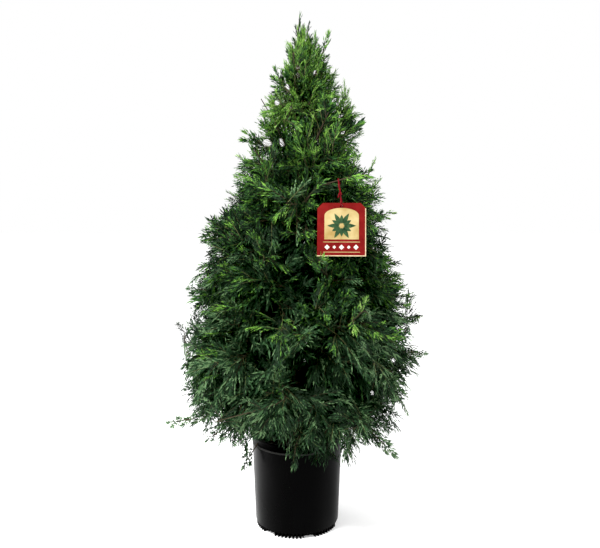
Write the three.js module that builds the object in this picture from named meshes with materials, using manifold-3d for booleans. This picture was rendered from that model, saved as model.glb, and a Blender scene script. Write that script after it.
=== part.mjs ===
// A young conical cypress in a black nursery can, with a card tied to one twig.
// Millimetres, +Z up. The origin is the middle of the can's flat underside and the front is -Y.

import * as THREE from "three";
import { mergeVertices } from "three/addons/utils/BufferGeometryUtils.js";
import Module from "manifold-3d";

const wasm = await Module();
wasm.setup();

// Clearances
const SEAT = 0.3; // between two pieces that touch
const MASS_MARGIN = 0.6; // from a foliage mass to the edge of its own space
const LIMB_CLEARANCE = 2.5; // from foliage to any limb
const POT_CLEARANCE = 12; // from foliage to the can
const TAG_CLEARANCE = 4; // from foliage to the card and its tie

// The outline of the tree
const TREE_TOP = 1376;
const CROWN_WIDEST = 430; // height of the widest place
const CROWN_LOW = 182; // lowest hanging sprays
const CROWN_RADIUS = 328;
const CROWN_ROUNDNESS = 1.55; // 1 is a plain cone, more is rounder
const CROWN_TIP_RADIUS = 15;
const SKIRT_INSET = 85; // how much narrower the lowest sprays stand
const SKIRT_ROUNDNESS = 0.7;
const CROWN_SHIFT = 6; // the crown stands this far to the right of the can

// The can
const POT_HEIGHT = 260;
const POT_LIP_RADIUS = 125;
const POT_LIP_HEIGHT = 6;
const POT_NECK_RADIUS = 119.5;
const POT_SHOULDER_HEIGHT = 233;
const POT_SHOULDER_RADIUS = 123;
const POT_SHOULDER_RISE = 3;
const POT_WALL_FOOT_RADIUS = 115;
const POT_WALL = 2.4;
const POT_FLOOR = 5;
const POT_SEGMENTS = 32;
const FOOT_HEIGHT = 14;
const FOOT_RADIUS = 112.5;
const FOOT_FLUTES = 44;
const FLUTE_DEPTH = 1.8;
const FOOT_CORE_RADIUS = 109.4;
const FOOT_RING_WIDTH = 4.4;
const DRAIN_COUNT = 6;
const DRAIN_TURN = THREE.MathUtils.degToRad(-72); // first drain notch, from +X
const DRAIN_WIDTH = 22;
const DRAIN_HEIGHT = 7;
const DRAIN_DEPTH = 12;

// The bark mix that fills it
const SOIL_EDGE = 228;
const SOIL_MIDDLE = 236;
const SOIL_FLAT_RADIUS = 34;
const SOIL_RINGS = [[0.76, 2], [0.5, 5]]; // share of the radius, and rise above the edge
const SOIL_LUMP = 2.5;

// The trunk
const TRUNK_TOP = 1292;
const TRUNK_RADIUS = 14;
const TRUNK_TIP_RADIUS = 2.4;
const TRUNK_FLARE = 9;
const TRUNK_FLARE_HEIGHT = 30;
const TRUNK_FLARE_LOBES = 5;
const TRUNK_FLARE_DEPTH = 0.3;
const TRUNK_SIDES = 10;
const TRUNK_STEPS = 16;
const TRUNK_SWAY = new THREE.Vector3(-7, 5, 0);
const TRUNK_LEAN = new THREE.Vector3(14, -2, 0);

// The limbs that carry the foliage, set out up the trunk by the golden angle
const MASS_COUNT = 27;
const FIRST_BOUGH = 4; // the masses above this one meet the trunk itself
const GOLDEN_ANGLE = Math.PI * (3 - Math.sqrt(5));
const FIRST_TURN = 2.05;
const LOWEST_SEED = 292;
const SEED_SPREAD = 0.66;
const SEED_SHARE = 0.6; // the middle of a mass, as a share of its limb
const BOUGH_SHARE = 0.36; // a bough ends here and its mass takes over
const LIMB_REACH = 0.86; // a limb's end, as a share of the crown's radius
const RISE_TOP = THREE.MathUtils.degToRad(62);
const RISE_BOTTOM = THREE.MathUtils.degToRad(-6);
const TIP_LIFT = 0.34;
const LIMB_BOW = 0.1;
const BOUGH_RADIUS_SHARE = 0.6; // of the trunk's radius where it leaves
const BOUGH_SIDES = 5;
const BOUGH_STEPS = 2;
const STEM_SIDES = 4;
const STEM_STEPS = 3;
const STEM_TIP_RADIUS = 1.6;

// Twigs and sprays of one mass
const TWIG_COUNT = 11;
const TWIG_BACKMOST = -0.15; // how far back round the stem the twigs go, 1 is straight ahead
const TWIG_WANDER = 0.5;
const TWIG_RADIUS = 2.4;
const TWIG_TIP_RADIUS = 1.3;
const TWIG_FOOT = 0.56; // where twigs leave their limb
const TWIG_OVERLAP = 0.4;
const TWIG_SAMPLES = [0.25, 0.5, 0.75, 1]; // where a twig's room is measured
const TWIG_SHORTEST = 34;
const TWIG_LONGEST = 210;
const SPRAY_LONGEST = 138;
const SPRAY_SHORTEST = 50;
const SPRAY_TEETH = [[180, 0.5], [110, 0.34], [80, 0.17], [44, 0.32], [0, 0.5]]; // turn and reach
const SPRAY_THICKNESS = 0.06;
const SPRAY_SINK = 46;
const SPRAY_SAMPLES = [0, 0.25, 0.5, 0.75]; // where a spray's room is measured, along each edge
const STALK_SAMPLES = [0.3, 0.45, 0.6, 0.8]; // and along its stalk
const SPRAY_ROLL = 2.8;
const SPRAY_SWING = 0.35; // how far sprays swing to their limb's way
const SPRAY_DROOP = 0.35; // how far the lowest sprays hang
const SPRAY_LIFT = 0.75; // and how far the highest ones rise
const CORE_INNER = 0.92; // how much of its room a core fills towards its neighbours
const CORE_OUTER = 0.56; // and towards the outline, where its sprays stand out
const CORE_ROUGH = 0.86;
const CORE_LONGEST = 145;
const MARCH_STEP = 3;
const STEM_ROOM = 12; // foliage this near to the middle of its mass is always free
const SEED_NUMBER = 4127;

// Long shoots that stand out of the outline
const LONG_SHOOTS = [
  [8, 2, 1374],
  [33, 8, 1362],
  [80, -6, 1329],
  [-64, 10, 1250],
  [-366, 14, 276],
  [352, -20, 466],
  [258, -40, 872],
  [268, -70, 194],
  [-150, -84, 190],
  [-298, -30, 664],
  [20, -300, 640],
  [-20, 318, 520],
];
const SHOOT_RADIUS = 2;
const SHOOT_SPRAY = 84;
const SHOOT_FOOT = 0.5; // where a shoot leaves its stem
const SHOOT_ROLL = 0.3;

// The card and its tie
const TAG_WIDTH = 115;
const TAG_HEIGHT = 127;
const TAG_CHAMFER = 13;
const TAG_THICKNESS = 0.8;
const TAG_HOLE_RADIUS = 4;
const TAG_HOLE_DROP = 8; // from the card's top edge to the middle of its hole
const TAG_HOLE = new THREE.Vector3(107, -224, 883);
const TAG_LEAN = THREE.MathUtils.degToRad(12);
const TAG_TURN = THREE.MathUtils.degToRad(-3);
const TIE_TOP = new THREE.Vector3(100, -210, 944);
const TIE_RADIUS = 1.1;
const TIE_BEND = 6.5;
const TIE_SIDES = 5;
const TIE_STEPS = 16;
const HANGER_RUN = new THREE.Vector3(0.87, -0.42, 0.24).normalize();
const HANGER_BEFORE = 46;
const HANGER_AFTER = 86;

// Colours
const CAN_BLACK = 0x151616;
const MIX_BROWN = 0x3a2a20;
const TRUNK_BROWN = 0x6b5140;
const BOUGH_BROWN = 0x6f5644;
const LEAF_GREEN = 0x2f5a2c;
const CARD_RED = 0xa81f22;
const TIE_RED = 0xb3202a;
const ROUGHNESS = 0.6;

const MERGE_DISTANCE = 1e-4; // corners nearer than this are one
const STEEP_RUN = 0.1; // a run this near to upright has no level way across
const UP = new THREE.Vector3(0, 0, 1);

/** Seeded numbers from 0 to 1. */
function randomSource(seed) {
  let state = seed >>> 0;
  return () => {
    state = (state + 0x6d2b79f5) >>> 0;
    let mixed = Math.imul(state ^ (state >>> 15), state | 1);
    mixed = (mixed + Math.imul(mixed ^ (mixed >>> 7), mixed | 61)) ^ mixed;
    return ((mixed ^ (mixed >>> 14)) >>> 0) / 4294967296;
  };
}

/** A closed solid from a geometry, with its corners merged and its empty faces dropped. */
function solidOf(geometry) {
  const bare = new THREE.BufferGeometry();
  bare.setAttribute("position", geometry.getAttribute("position"));
  bare.setIndex(geometry.getIndex());
  const merged = mergeVertices(bare, MERGE_DISTANCE);
  const corners = merged.getIndex().array;
  const kept = [];
  for (let i = 0; i < corners.length; i += 3) {
    const [a, b, c] = corners.slice(i, i + 3);
    if (a !== b && b !== c && c !== a) kept.push(a, b, c);
  }
  const vertProperties = merged.getAttribute("position").array;
  const made = new wasm.Manifold(
    new wasm.Mesh({ numProp: 3, vertProperties, triVerts: new Uint32Array(kept) }),
  );
  if (made.volume() > 0) return made;
  return new wasm.Manifold(
    new wasm.Mesh({ numProp: 3, vertProperties, triVerts: new Uint32Array(kept.reverse()) }),
  );
}

/** The largest body of a solid, without loose scraps or sealed hollows. */
function largestBody(solid) {
  const bodies = solid.decompose();
  return bodies.reduce((best, body) => (body.volume() > best.volume() ? body : best));
}

/** A solid as a geometry that can be drawn. */
function geometryOf(solid) {
  const mesh = solid.getMesh();
  const geometry = new THREE.BufferGeometry();
  geometry.setAttribute("position", new THREE.BufferAttribute(mesh.vertProperties, 3));
  geometry.setIndex(new THREE.BufferAttribute(mesh.triVerts, 1));
  return geometry;
}

/** A profile of [radius, height] pairs turned about Z. */
function turned(profile, segments) {
  const points = profile.map(([radius, height]) => new THREE.Vector2(radius, height));
  return new THREE.LatheGeometry(points, segments).rotateX(Math.PI / 2);
}

/** A tapering limb along a curve; radiusAt takes the share of its length and the turn round it. */
function limbAlong(curve, radiusAt, sides, steps) {
  const geometry = new THREE.CylinderGeometry(1, 1, 1, sides, steps);
  const frames = curve.computeFrenetFrames(steps);
  const place = geometry.getAttribute("position");
  const corner = new THREE.Vector3();
  for (let i = 0; i < place.count; i += 1) {
    corner.fromBufferAttribute(place, i);
    const along = corner.y + 0.5;
    const step = Math.round(along * steps);
    const radius = radiusAt(along, Math.atan2(corner.z, corner.x));
    const point = curve.getPoint(along);
    point.addScaledVector(frames.normals[step], corner.x * radius);
    point.addScaledVector(frames.binormals[step], -corner.z * radius);
    place.setXYZ(i, point.x, point.y, point.z);
  }
  return solidOf(geometry);
}

/** A three-sided twig between two points. */
function twigBetween(start, end, startRadius, endRadius) {
  const run = new THREE.LineCurve3(start, end);
  const radiusAt = (along) => THREE.MathUtils.lerp(startRadius, endRadius, along);
  return limbAlong(run, radiusAt, 3, 1);
}

/** The corners of one toothed spray: its rim, then its two raised middles. */
function sprayCorners(root, along, across, length) {
  const face = new THREE.Vector3().crossVectors(along, across);
  const otherSide = SPRAY_TEETH.slice(1, -1).map(([turn, reach]) => [-turn, reach]).reverse();
  const rim = [...SPRAY_TEETH, ...otherSide].map(([turn, reach]) => {
    const angle = THREE.MathUtils.degToRad(turn);
    const ahead = length * (0.5 + reach * Math.cos(angle));
    const beside = length * reach * Math.sin(angle);
    return root.clone().addScaledVector(along, ahead).addScaledVector(across, beside);
  });
  const middle = root.clone().addScaledVector(along, 0.5 * length);
  const half = 0.5 * SPRAY_THICKNESS * length;
  const top = middle.clone().addScaledVector(face, half);
  const bottom = middle.clone().addScaledVector(face, -half);
  return { rim, top, bottom };
}

/** A toothed spray as a solid: a flattened ball of two rings of faces, its rim drawn out to teeth. */
function spraySolid({ rim, top, bottom }) {
  const geometry = new THREE.SphereGeometry(1, rim.length, 2);
  const place = geometry.getAttribute("position");
  const ring = rim.length + 1;
  for (let i = 0; i < place.count; i += 1) {
    const row = Math.floor(i / ring);
    const rimCorner = rim[(i % ring) % rim.length];
    const corner = [top, rimCorner, bottom][row];
    place.setXYZ(i, corner.x, corner.y, corner.z);
  }
  return solidOf(geometry);
}

// The outline and the trunk

/** The crown's radius at a height. */
function crownRadius(height) {
  if (height >= CROWN_WIDEST) {
    const share = Math.min(1, (height - CROWN_WIDEST) / (TREE_TOP - CROWN_WIDEST));
    return CROWN_RADIUS * (1 - share ** CROWN_ROUNDNESS) + CROWN_TIP_RADIUS * share;
  }
  const share = Math.min(1, (CROWN_WIDEST - height) / (CROWN_WIDEST - CROWN_LOW));
  return CROWN_RADIUS - SKIRT_INSET * share ** SKIRT_ROUNDNESS;
}

const trunkFoot = new THREE.Vector3(0, 0, SOIL_MIDDLE + SEAT);
const trunkHeight = TRUNK_TOP - trunkFoot.z;
const trunkCurve = new THREE.CubicBezierCurve3(
  trunkFoot,
  trunkFoot.clone().addScaledVector(UP, trunkHeight / 3),
  trunkFoot.clone().addScaledVector(UP, (2 * trunkHeight) / 3).add(TRUNK_SWAY),
  trunkFoot.clone().addScaledVector(UP, trunkHeight).add(TRUNK_LEAN),
);

/** The share of the trunk's height at a level. */
function trunkShare(height) {
  return THREE.MathUtils.clamp((height - trunkFoot.z) / trunkHeight, 0, 1);
}

/** The trunk's middle line at a level. */
function trunkAt(height) {
  return trunkCurve.getPoint(trunkShare(height));
}

/** The trunk's radius at a share of its height, with the lobes of its root flare. */
function trunkRadius(along, turn) {
  const stem = THREE.MathUtils.lerp(TRUNK_RADIUS, TRUNK_TIP_RADIUS, along);
  const flare = TRUNK_FLARE * Math.exp((-along * trunkHeight) / TRUNK_FLARE_HEIGHT);
  return stem + flare * (1 + TRUNK_FLARE_DEPTH * Math.cos(TRUNK_FLARE_LOBES * turn));
}

// Limbs

/** The line of one limb, from the middle of the trunk to the end of its mass. */
function limbCurve(number) {
  if (number === 0) {
    const start = trunkCurve.getPoint(1).addScaledVector(trunkCurve.getTangent(1), SEAT);
    const end = new THREE.Vector3(start.x + TRUNK_TIP_RADIUS, start.y, TREE_TOP - SPRAY_SHORTEST / 2);
    const middle = start.clone().lerp(end, 0.5);
    return new THREE.QuadraticBezierCurve3(start, middle, end);
  }
  const share = (number + 0.5) / MASS_COUNT;
  const height = TREE_TOP - (TREE_TOP - LOWEST_SEED) * share ** SEED_SPREAD;
  const turn = FIRST_TURN + number * GOLDEN_ANGLE;
  const out = new THREE.Vector3(Math.cos(turn), Math.sin(turn), 0);
  const slope = Math.tan(THREE.MathUtils.lerp(RISE_TOP, RISE_BOTTOM, share));
  const room = crownRadius(height);
  const start = trunkAt(height - slope * SEED_SHARE * room);
  const endHeight = height + slope * TIP_LIFT * room;
  const end = new THREE.Vector3(CROWN_SHIFT, 0, endHeight);
  end.addScaledVector(out, LIMB_REACH * Math.min(room, crownRadius(endHeight)));
  const middle = start.clone().lerp(end, 0.5).addScaledVector(UP, LIMB_BOW * room);
  return new THREE.QuadraticBezierCurve3(start, middle, end);
}

/** The part of a curve between two shares of it, as a curve of its own. */
function partOf(curve, from, to) {
  const start = curve.getPoint(from);
  const end = curve.getPoint(to);
  const middle = curve.getPoint(0.5 * (from + to)).multiplyScalar(2);
  middle.addScaledVector(start, -0.5).addScaledVector(end, -0.5);
  return new THREE.QuadraticBezierCurve3(start, middle, end);
}

const limbs = Array.from({ length: MASS_COUNT }, (_, number) => {
  const curve = limbCurve(number);
  const leaves = trunkRadius(trunkShare(curve.getPoint(0).z), 0);
  return {
    number,
    curve,
    seed: curve.getPoint(SEED_SHARE),
    radius: number === 0 ? TRUNK_TIP_RADIUS : BOUGH_RADIUS_SHARE * leaves,
    hasBough: number >= FIRST_BOUGH,
  };
});

/** A limb's radius at a share of its length. */
function limbRadius(limb, share) {
  return THREE.MathUtils.lerp(limb.radius, STEM_TIP_RADIUS, share);
}

/** A bough out to a share of its limb, thickened by some clearance. */
function boughSolid(limb, share, clearance) {
  const radiusAt = (along) => limbRadius(limb, along * share) + clearance;
  return limbAlong(partOf(limb.curve, 0, share), radiusAt, BOUGH_SIDES, BOUGH_STEPS);
}

/** Straight rods that stand for the trunk and the boughs when room is measured. */
function limbRods() {
  const rods = [];
  const addRods = (curve, radiusAt, steps) => {
    for (let i = 0; i < steps; i += 1) {
      const line = new THREE.Line3(curve.getPoint(i / steps), curve.getPoint((i + 1) / steps));
      rods.push({ line, radius: radiusAt(i / steps) });
    }
  };
  addRods(trunkCurve, (along) => trunkRadius(along, 0), TRUNK_STEPS);
  limbs.filter((limb) => limb.hasBough).forEach((limb) => {
    const bough = partOf(limb.curve, 0, BOUGH_SHARE);
    addRods(bough, (along) => limbRadius(limb, along * BOUGH_SHARE), BOUGH_STEPS);
  });
  return rods;
}

// The card and its tie, and the room they need

const tagFrame = new THREE.Matrix4()
  .makeTranslation(TAG_HOLE)
  .multiply(new THREE.Matrix4().makeRotationZ(TAG_TURN))
  .multiply(new THREE.Matrix4().makeRotationX(-TAG_LEAN))
  .multiply(new THREE.Matrix4().makeRotationX(Math.PI / 2));
const tagFrameBack = tagFrame.clone().invert();
const tieRun = TIE_TOP.clone().sub(TAG_HOLE).normalize();
const tieRod = new THREE.Line3(TAG_HOLE, TIE_TOP.clone().addScaledVector(tieRun, TIE_BEND));

/** Whether a point is too near the card or its tie. */
function nearTag(point) {
  const flat = point.clone().applyMatrix4(tagFrameBack);
  const beside = Math.abs(flat.x) > 0.5 * TAG_WIDTH + TAG_CLEARANCE;
  const above = flat.y > TAG_HOLE_DROP + TAG_CLEARANCE;
  const below = flat.y < TAG_HOLE_DROP - TAG_HEIGHT - TAG_CLEARANCE;
  const behind = flat.z < -TAG_CLEARANCE;
  if (!beside && !above && !below && !behind) return true;
  const nearest = tieRod.closestPointToPoint(point, true, new THREE.Vector3());
  return nearest.distanceTo(point) < TIE_BEND + TAG_CLEARANCE;
}

// Foliage masses

const rods = limbRods();
const trunkSpace = limbAlong(
  trunkCurve,
  (along, turn) => trunkRadius(along, turn) + SEAT,
  TRUNK_SIDES,
  TRUNK_STEPS,
);
const boughs = limbs.filter((limb) => limb.hasBough);
const potSpace = solidOf(
  turned(
    [
      [0, 0],
      [POT_LIP_RADIUS + POT_CLEARANCE / 2, 0],
      [POT_LIP_RADIUS + POT_CLEARANCE / 2, POT_HEIGHT + POT_CLEARANCE / 2],
      [0, POT_HEIGHT + POT_CLEARANCE / 2],
    ],
    POT_SEGMENTS / 2,
  ),
);
const boughSpaces = boughs.map((limb) => boughSolid(limb, BOUGH_SHARE, LIMB_CLEARANCE));
const keptSpaces = [potSpace, trunkSpace, ...boughSpaces];

/** Whether a point lies in a mass's own space: nearer its middle than any other's. */
function inOwnSpace(limb, point) {
  return limbs.every((other) => {
    if (other === limb) return true;
    const apart = other.seed.distanceTo(limb.seed);
    const lead = other.seed.distanceToSquared(point) - limb.seed.distanceToSquared(point);
    return lead / (2 * apart) > MASS_MARGIN;
  });
}

/** Whether a point keeps clear of the limbs, the can and the card. */
function isClear(point) {
  const fromAxis = Math.hypot(point.x, point.y);
  if (point.z < POT_HEIGHT + POT_CLEARANCE && fromAxis < POT_LIP_RADIUS + POT_CLEARANCE) return false;
  if (nearTag(point)) return false;
  const nearest = new THREE.Vector3();
  return rods.every((rod) => {
    rod.line.closestPointToPoint(point, true, nearest);
    return nearest.distanceTo(point) > rod.radius + LIMB_CLEARANCE;
  });
}

/** Whether a point lies within the crown's outline. */
function inCrown(point) {
  const fromAxis = Math.hypot(point.x - CROWN_SHIFT, point.y);
  return point.z > CROWN_LOW && point.z < TREE_TOP && fromAxis < crownRadius(point.z);
}

/** A solid with the space of the can, the trunk and the boughs cut out of it. */
function cutClear(solid) {
  const box = solid.boundingBox();
  return keptSpaces.reduce((rest, space) => {
    const other = space.boundingBox();
    const isApart = (axis) => box.min[axis] > other.max[axis] || box.max[axis] < other.min[axis];
    const apart = [0, 1, 2].some(isApart);
    return apart ? rest : rest.subtract(space);
  }, solid);
}

/** How far one can go from a point before leaving the room of a mass. */
function roomAlong(limb, start, run, longest) {
  const point = new THREE.Vector3();
  for (let gone = MARCH_STEP; gone <= longest; gone += MARCH_STEP) {
    point.copy(start).addScaledVector(run, gone);
    const free = gone < STEM_ROOM || isClear(point);
    if (!free || !inCrown(point) || !inOwnSpace(limb, point)) return gone - MARCH_STEP;
  }
  return longest;
}

/** Whether a spray keeps to a mass's space and touches no limb. */
function sprayFits(limb, { rim, top, bottom }) {
  const middle = top.clone().lerp(bottom, 0.5);
  const outer = rim.slice(1);
  if (![...outer, top, bottom].every((corner) => inOwnSpace(limb, corner))) return false;
  const edge = outer.flatMap((corner, i) => {
    const next = outer[Math.min(i + 1, outer.length - 1)];
    return SPRAY_SAMPLES.map((share) => corner.clone().lerp(next, share));
  });
  const inner = edge.flatMap((corner) => SPRAY_SAMPLES.map((share) => corner.clone().lerp(middle, share)));
  const stalk = STALK_SAMPLES.map((share) => rim[0].clone().lerp(middle, share));
  return [...inner, ...stalk, middle].every(isClear);
}

/** The way across a spray: level, rolled a little about its run. */
function acrossRun(run, roll) {
  const level = new THREE.Vector3().crossVectors(UP, run);
  if (level.length() < STEEP_RUN) level.set(1, 0, 0);
  const square = level.addScaledVector(run, -level.dot(run)).normalize();
  return square.applyAxisAngle(run, roll);
}

/** How much of its room a mass's core fills in one direction. */
function coreShare(limb, run) {
  const out = limb.number === 0 ? UP : new THREE.Vector3(limb.seed.x, limb.seed.y, 0).normalize();
  return THREE.MathUtils.lerp(CORE_INNER, CORE_OUTER, Math.max(0, run.dot(out)));
}

/** One foliage mass: a stem, twigs set round it by the golden angle, a spray on each, and a core. */
function foliageMass(limb) {
  const random = randomSource(SEED_NUMBER + limb.number);
  const boughEnd = limb.hasBough ? BOUGH_SHARE : 0;
  const seatShare = limb.hasBough ? SEAT / limb.curve.getLength() : 0;
  const stem = partOf(limb.curve, boughEnd + seatShare, 1);
  const stemRadius = (along) => limbRadius(limb, boughEnd + along * (1 - boughEnd));
  const stemSolid = limbAlong(stem, stemRadius, STEM_SIDES, STEM_STEPS);
  const solids = [limb.number > 0 && !limb.hasBough ? stemSolid.subtract(trunkSpace) : stemSolid];

  // Core
  const ball = new THREE.IcosahedronGeometry(1, 1);
  const place = ball.getAttribute("position");
  const reaches = new Map();
  const run = new THREE.Vector3();
  for (let i = 0; i < place.count; i += 1) {
    run.fromBufferAttribute(place, i).normalize();
    const key = run.toArray().map((value) => value.toFixed(3)).join(" ");
    if (!reaches.has(key)) {
      const share = coreShare(limb, run);
      const room = roomAlong(limb, limb.seed, run, CORE_LONGEST / share);
      const rough = THREE.MathUtils.lerp(CORE_ROUGH, 1, random());
      reaches.set(key, Math.max(share * rough * room, 2 * MARCH_STEP));
    }
    const corner = limb.seed.clone().addScaledVector(run, reaches.get(key));
    place.setXYZ(i, corner.x, corner.y, corner.z);
  }
  solids.push(cutClear(solidOf(ball)));

  // Twigs, each with a spray that stands out of the core
  const lift = THREE.MathUtils.lerp(-SPRAY_DROOP, SPRAY_LIFT, trunkShare(limb.seed.z));
  const forward = stem.getTangent(0.5);
  const aside = acrossRun(forward, 0);
  const above = new THREE.Vector3().crossVectors(forward, aside);
  for (let i = 0; i < TWIG_COUNT; i += 1) {
    const ahead = THREE.MathUtils.lerp(1, TWIG_BACKMOST, (i + 0.5) / TWIG_COUNT);
    const turn = i * GOLDEN_ANGLE + TWIG_WANDER * random();
    const wide = Math.sqrt(1 - ahead * ahead);
    const way = forward.clone().multiplyScalar(ahead);
    way.addScaledVector(aside, wide * Math.cos(turn)).addScaledVector(above, wide * Math.sin(turn));
    const roll = SPRAY_ROLL * (random() - 0.5);
    const room = roomAlong(limb, limb.seed, way, TWIG_LONGEST);
    if (room < TWIG_SHORTEST) continue;
    const coreEdge = coreShare(limb, way) * Math.min(room, CORE_LONGEST);
    const rootPlace = Math.max(coreEdge - SPRAY_SINK, MARCH_STEP);
    const root = limb.seed.clone().addScaledVector(way, rootPlace);
    const length = Math.min(room - rootPlace, SPRAY_LONGEST);
    const swept = way.clone().addScaledVector(forward, SPRAY_SWING).addScaledVector(UP, lift).normalize();
    const corners = [swept, way]
      .map((sprayRun) => sprayCorners(root, sprayRun, acrossRun(sprayRun, roll), length))
      .find((tried) => sprayFits(limb, tried));
    if (!corners) continue;
    const twigFoot = limb.curve.getPoint(TWIG_FOOT);
    const twigEnd = root.clone().lerp(corners.top.clone().lerp(corners.bottom, 0.5), TWIG_OVERLAP);
    if (!TWIG_SAMPLES.every((share) => isClear(twigFoot.clone().lerp(twigEnd, share)))) continue;
    solids.push(twigBetween(twigFoot, twigEnd, TWIG_RADIUS, TWIG_TIP_RADIUS));
    solids.push(spraySolid(corners));
  }
  return solids;
}

/** A long shoot of a mass, from its stem through one or more points, with a spray at its end. */
function longShoot(limb, points) {
  const solids = [];
  const boughEnd = limb.hasBough ? BOUGH_SHARE : 0;
  const root = limb.curve.getPoint(THREE.MathUtils.lerp(boughEnd, 1, SHOOT_FOOT));
  const line = [root, ...points];
  const tip = line[line.length - 1];
  const run = tip.clone().sub(line[line.length - 2]).normalize();
  const sprayRoot = tip.clone().addScaledVector(run, -SHOOT_SPRAY);
  line[line.length - 1] = sprayRoot.clone().addScaledVector(run, TWIG_OVERLAP * SHOOT_SPRAY);
  line.slice(1).forEach((point, i) => {
    solids.push(twigBetween(line[i], point, SHOOT_RADIUS, SHOOT_RADIUS));
  });
  solids.push(spraySolid(sprayCorners(sprayRoot, run, acrossRun(run, SHOOT_ROLL), SHOOT_SPRAY)));
  return solids;
}

/** The mass whose space holds a point. */
function ownerOf(point) {
  return limbs.reduce((best, limb) =>
    limb.seed.distanceToSquared(point) < best.seed.distanceToSquared(point) ? limb : best,
  );
}

// Building the nodes

const object = new THREE.Group();
object.name = "potted_conical_cypress";

/** Adds a solid to the object as one named mesh. */
function addNode(name, solid, color) {
  const material = new THREE.MeshStandardMaterial({ color, roughness: ROUGHNESS, flatShading: true });
  const mesh = new THREE.Mesh(geometryOf(largestBody(solid)), material);
  mesh.name = name;
  object.add(mesh);
}

/** The can: a turned shell, a fluted foot ring and drain notches. */
function potSolid() {
  const lipUnder = POT_HEIGHT - POT_LIP_HEIGHT;
  const shoulderTop = POT_SHOULDER_HEIGHT + POT_SHOULDER_RISE;
  const shell = solidOf(
    turned(
      [
        [0, 0],
        [FOOT_CORE_RADIUS, 0],
        [FOOT_CORE_RADIUS, FOOT_HEIGHT],
        [POT_WALL_FOOT_RADIUS, FOOT_HEIGHT],
        [POT_SHOULDER_RADIUS, POT_SHOULDER_HEIGHT],
        [POT_NECK_RADIUS, shoulderTop],
        [POT_NECK_RADIUS, lipUnder - POT_SHOULDER_RISE],
        [POT_LIP_RADIUS, lipUnder],
        [POT_LIP_RADIUS, POT_HEIGHT],
        [POT_NECK_RADIUS - POT_WALL, POT_HEIGHT],
        [POT_NECK_RADIUS - POT_WALL, shoulderTop],
        [POT_SHOULDER_RADIUS - POT_WALL, POT_SHOULDER_HEIGHT - POT_SHOULDER_RISE],
        [POT_WALL_FOOT_RADIUS - POT_WALL, FOOT_HEIGHT + POT_FLOOR],
        [FOOT_CORE_RADIUS - POT_WALL, FOOT_HEIGHT],
        [FOOT_CORE_RADIUS - POT_WALL, POT_FLOOR],
        [0, POT_FLOOR],
      ],
      POT_SEGMENTS,
    ),
  );
  const outline = new THREE.Shape();
  for (let i = 0; i < 2 * FOOT_FLUTES; i += 1) {
    const turn = (i * Math.PI) / FOOT_FLUTES;
    const radius = i % 2 === 0 ? FOOT_RADIUS : FOOT_RADIUS - FLUTE_DEPTH;
    const corner = [radius * Math.cos(turn), radius * Math.sin(turn)];
    if (i === 0) outline.moveTo(...corner);
    else outline.lineTo(...corner);
  }
  const middle = new THREE.Path();
  middle.absarc(0, 0, FOOT_RADIUS - FOOT_RING_WIDTH, 0, 2 * Math.PI, true);
  outline.holes.push(middle);
  const ring = new THREE.ExtrudeGeometry(outline, {
    depth: FOOT_HEIGHT + SEAT,
    bevelEnabled: false,
    curveSegments: POT_SEGMENTS / 2,
  });
  let pot = shell.add(solidOf(ring));
  for (let i = 0; i < DRAIN_COUNT; i += 1) {
    const notch = new THREE.BoxGeometry(2 * DRAIN_DEPTH, DRAIN_WIDTH, 2 * DRAIN_HEIGHT);
    notch.translate(FOOT_RADIUS, 0, 0).rotateZ(DRAIN_TURN + (i * 2 * Math.PI) / DRAIN_COUNT);
    pot = pot.subtract(solidOf(notch));
  }
  return pot;
}

/** The bark mix: fills the can and rises a little round the trunk, with a lumpy top. */
function soilSolid() {
  const random = randomSource(SEED_NUMBER);
  const wallRadius = (height) => {
    const share = (height - FOOT_HEIGHT) / (POT_SHOULDER_HEIGHT - FOOT_HEIGHT);
    const wall = THREE.MathUtils.lerp(POT_WALL_FOOT_RADIUS, POT_SHOULDER_RADIUS, share);
    return wall - POT_WALL - 2 * SEAT;
  };
  const low = POT_FLOOR + SEAT;
  const step = FOOT_HEIGHT + 2 * POT_FLOOR;
  const footRadius = FOOT_CORE_RADIUS - POT_WALL - SEAT;
  const edge = wallRadius(SOIL_EDGE);
  const geometry = turned(
    [
      [0, low],
      [footRadius, low],
      [footRadius, FOOT_HEIGHT],
      [wallRadius(step), step],
      [edge, SOIL_EDGE],
      ...SOIL_RINGS.map(([share, rise]) => [share * edge, SOIL_EDGE + rise]),
      [SOIL_FLAT_RADIUS, SOIL_MIDDLE],
      [0, SOIL_MIDDLE],
    ],
    POT_SEGMENTS,
  );
  const place = geometry.getAttribute("position");
  const lumps = Array.from({ length: POT_SEGMENTS * 4 }, () => SOIL_LUMP * (random() - 0.5));
  for (let i = 0; i < place.count; i += 1) {
    const fromAxis = Math.hypot(place.getX(i), place.getY(i));
    const onTop = place.getZ(i) > SOIL_EDGE + SEAT && place.getZ(i) < SOIL_MIDDLE - SEAT;
    if (!onTop) continue;
    const turn = Math.atan2(place.getY(i), place.getX(i)) + Math.PI;
    const slot = Math.round((turn * POT_SEGMENTS) / (2 * Math.PI)) % POT_SEGMENTS;
    const ring = Math.round((3 * fromAxis) / edge);
    place.setZ(i, place.getZ(i) + lumps[slot + POT_SEGMENTS * ring]);
  }
  return solidOf(geometry);
}

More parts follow.
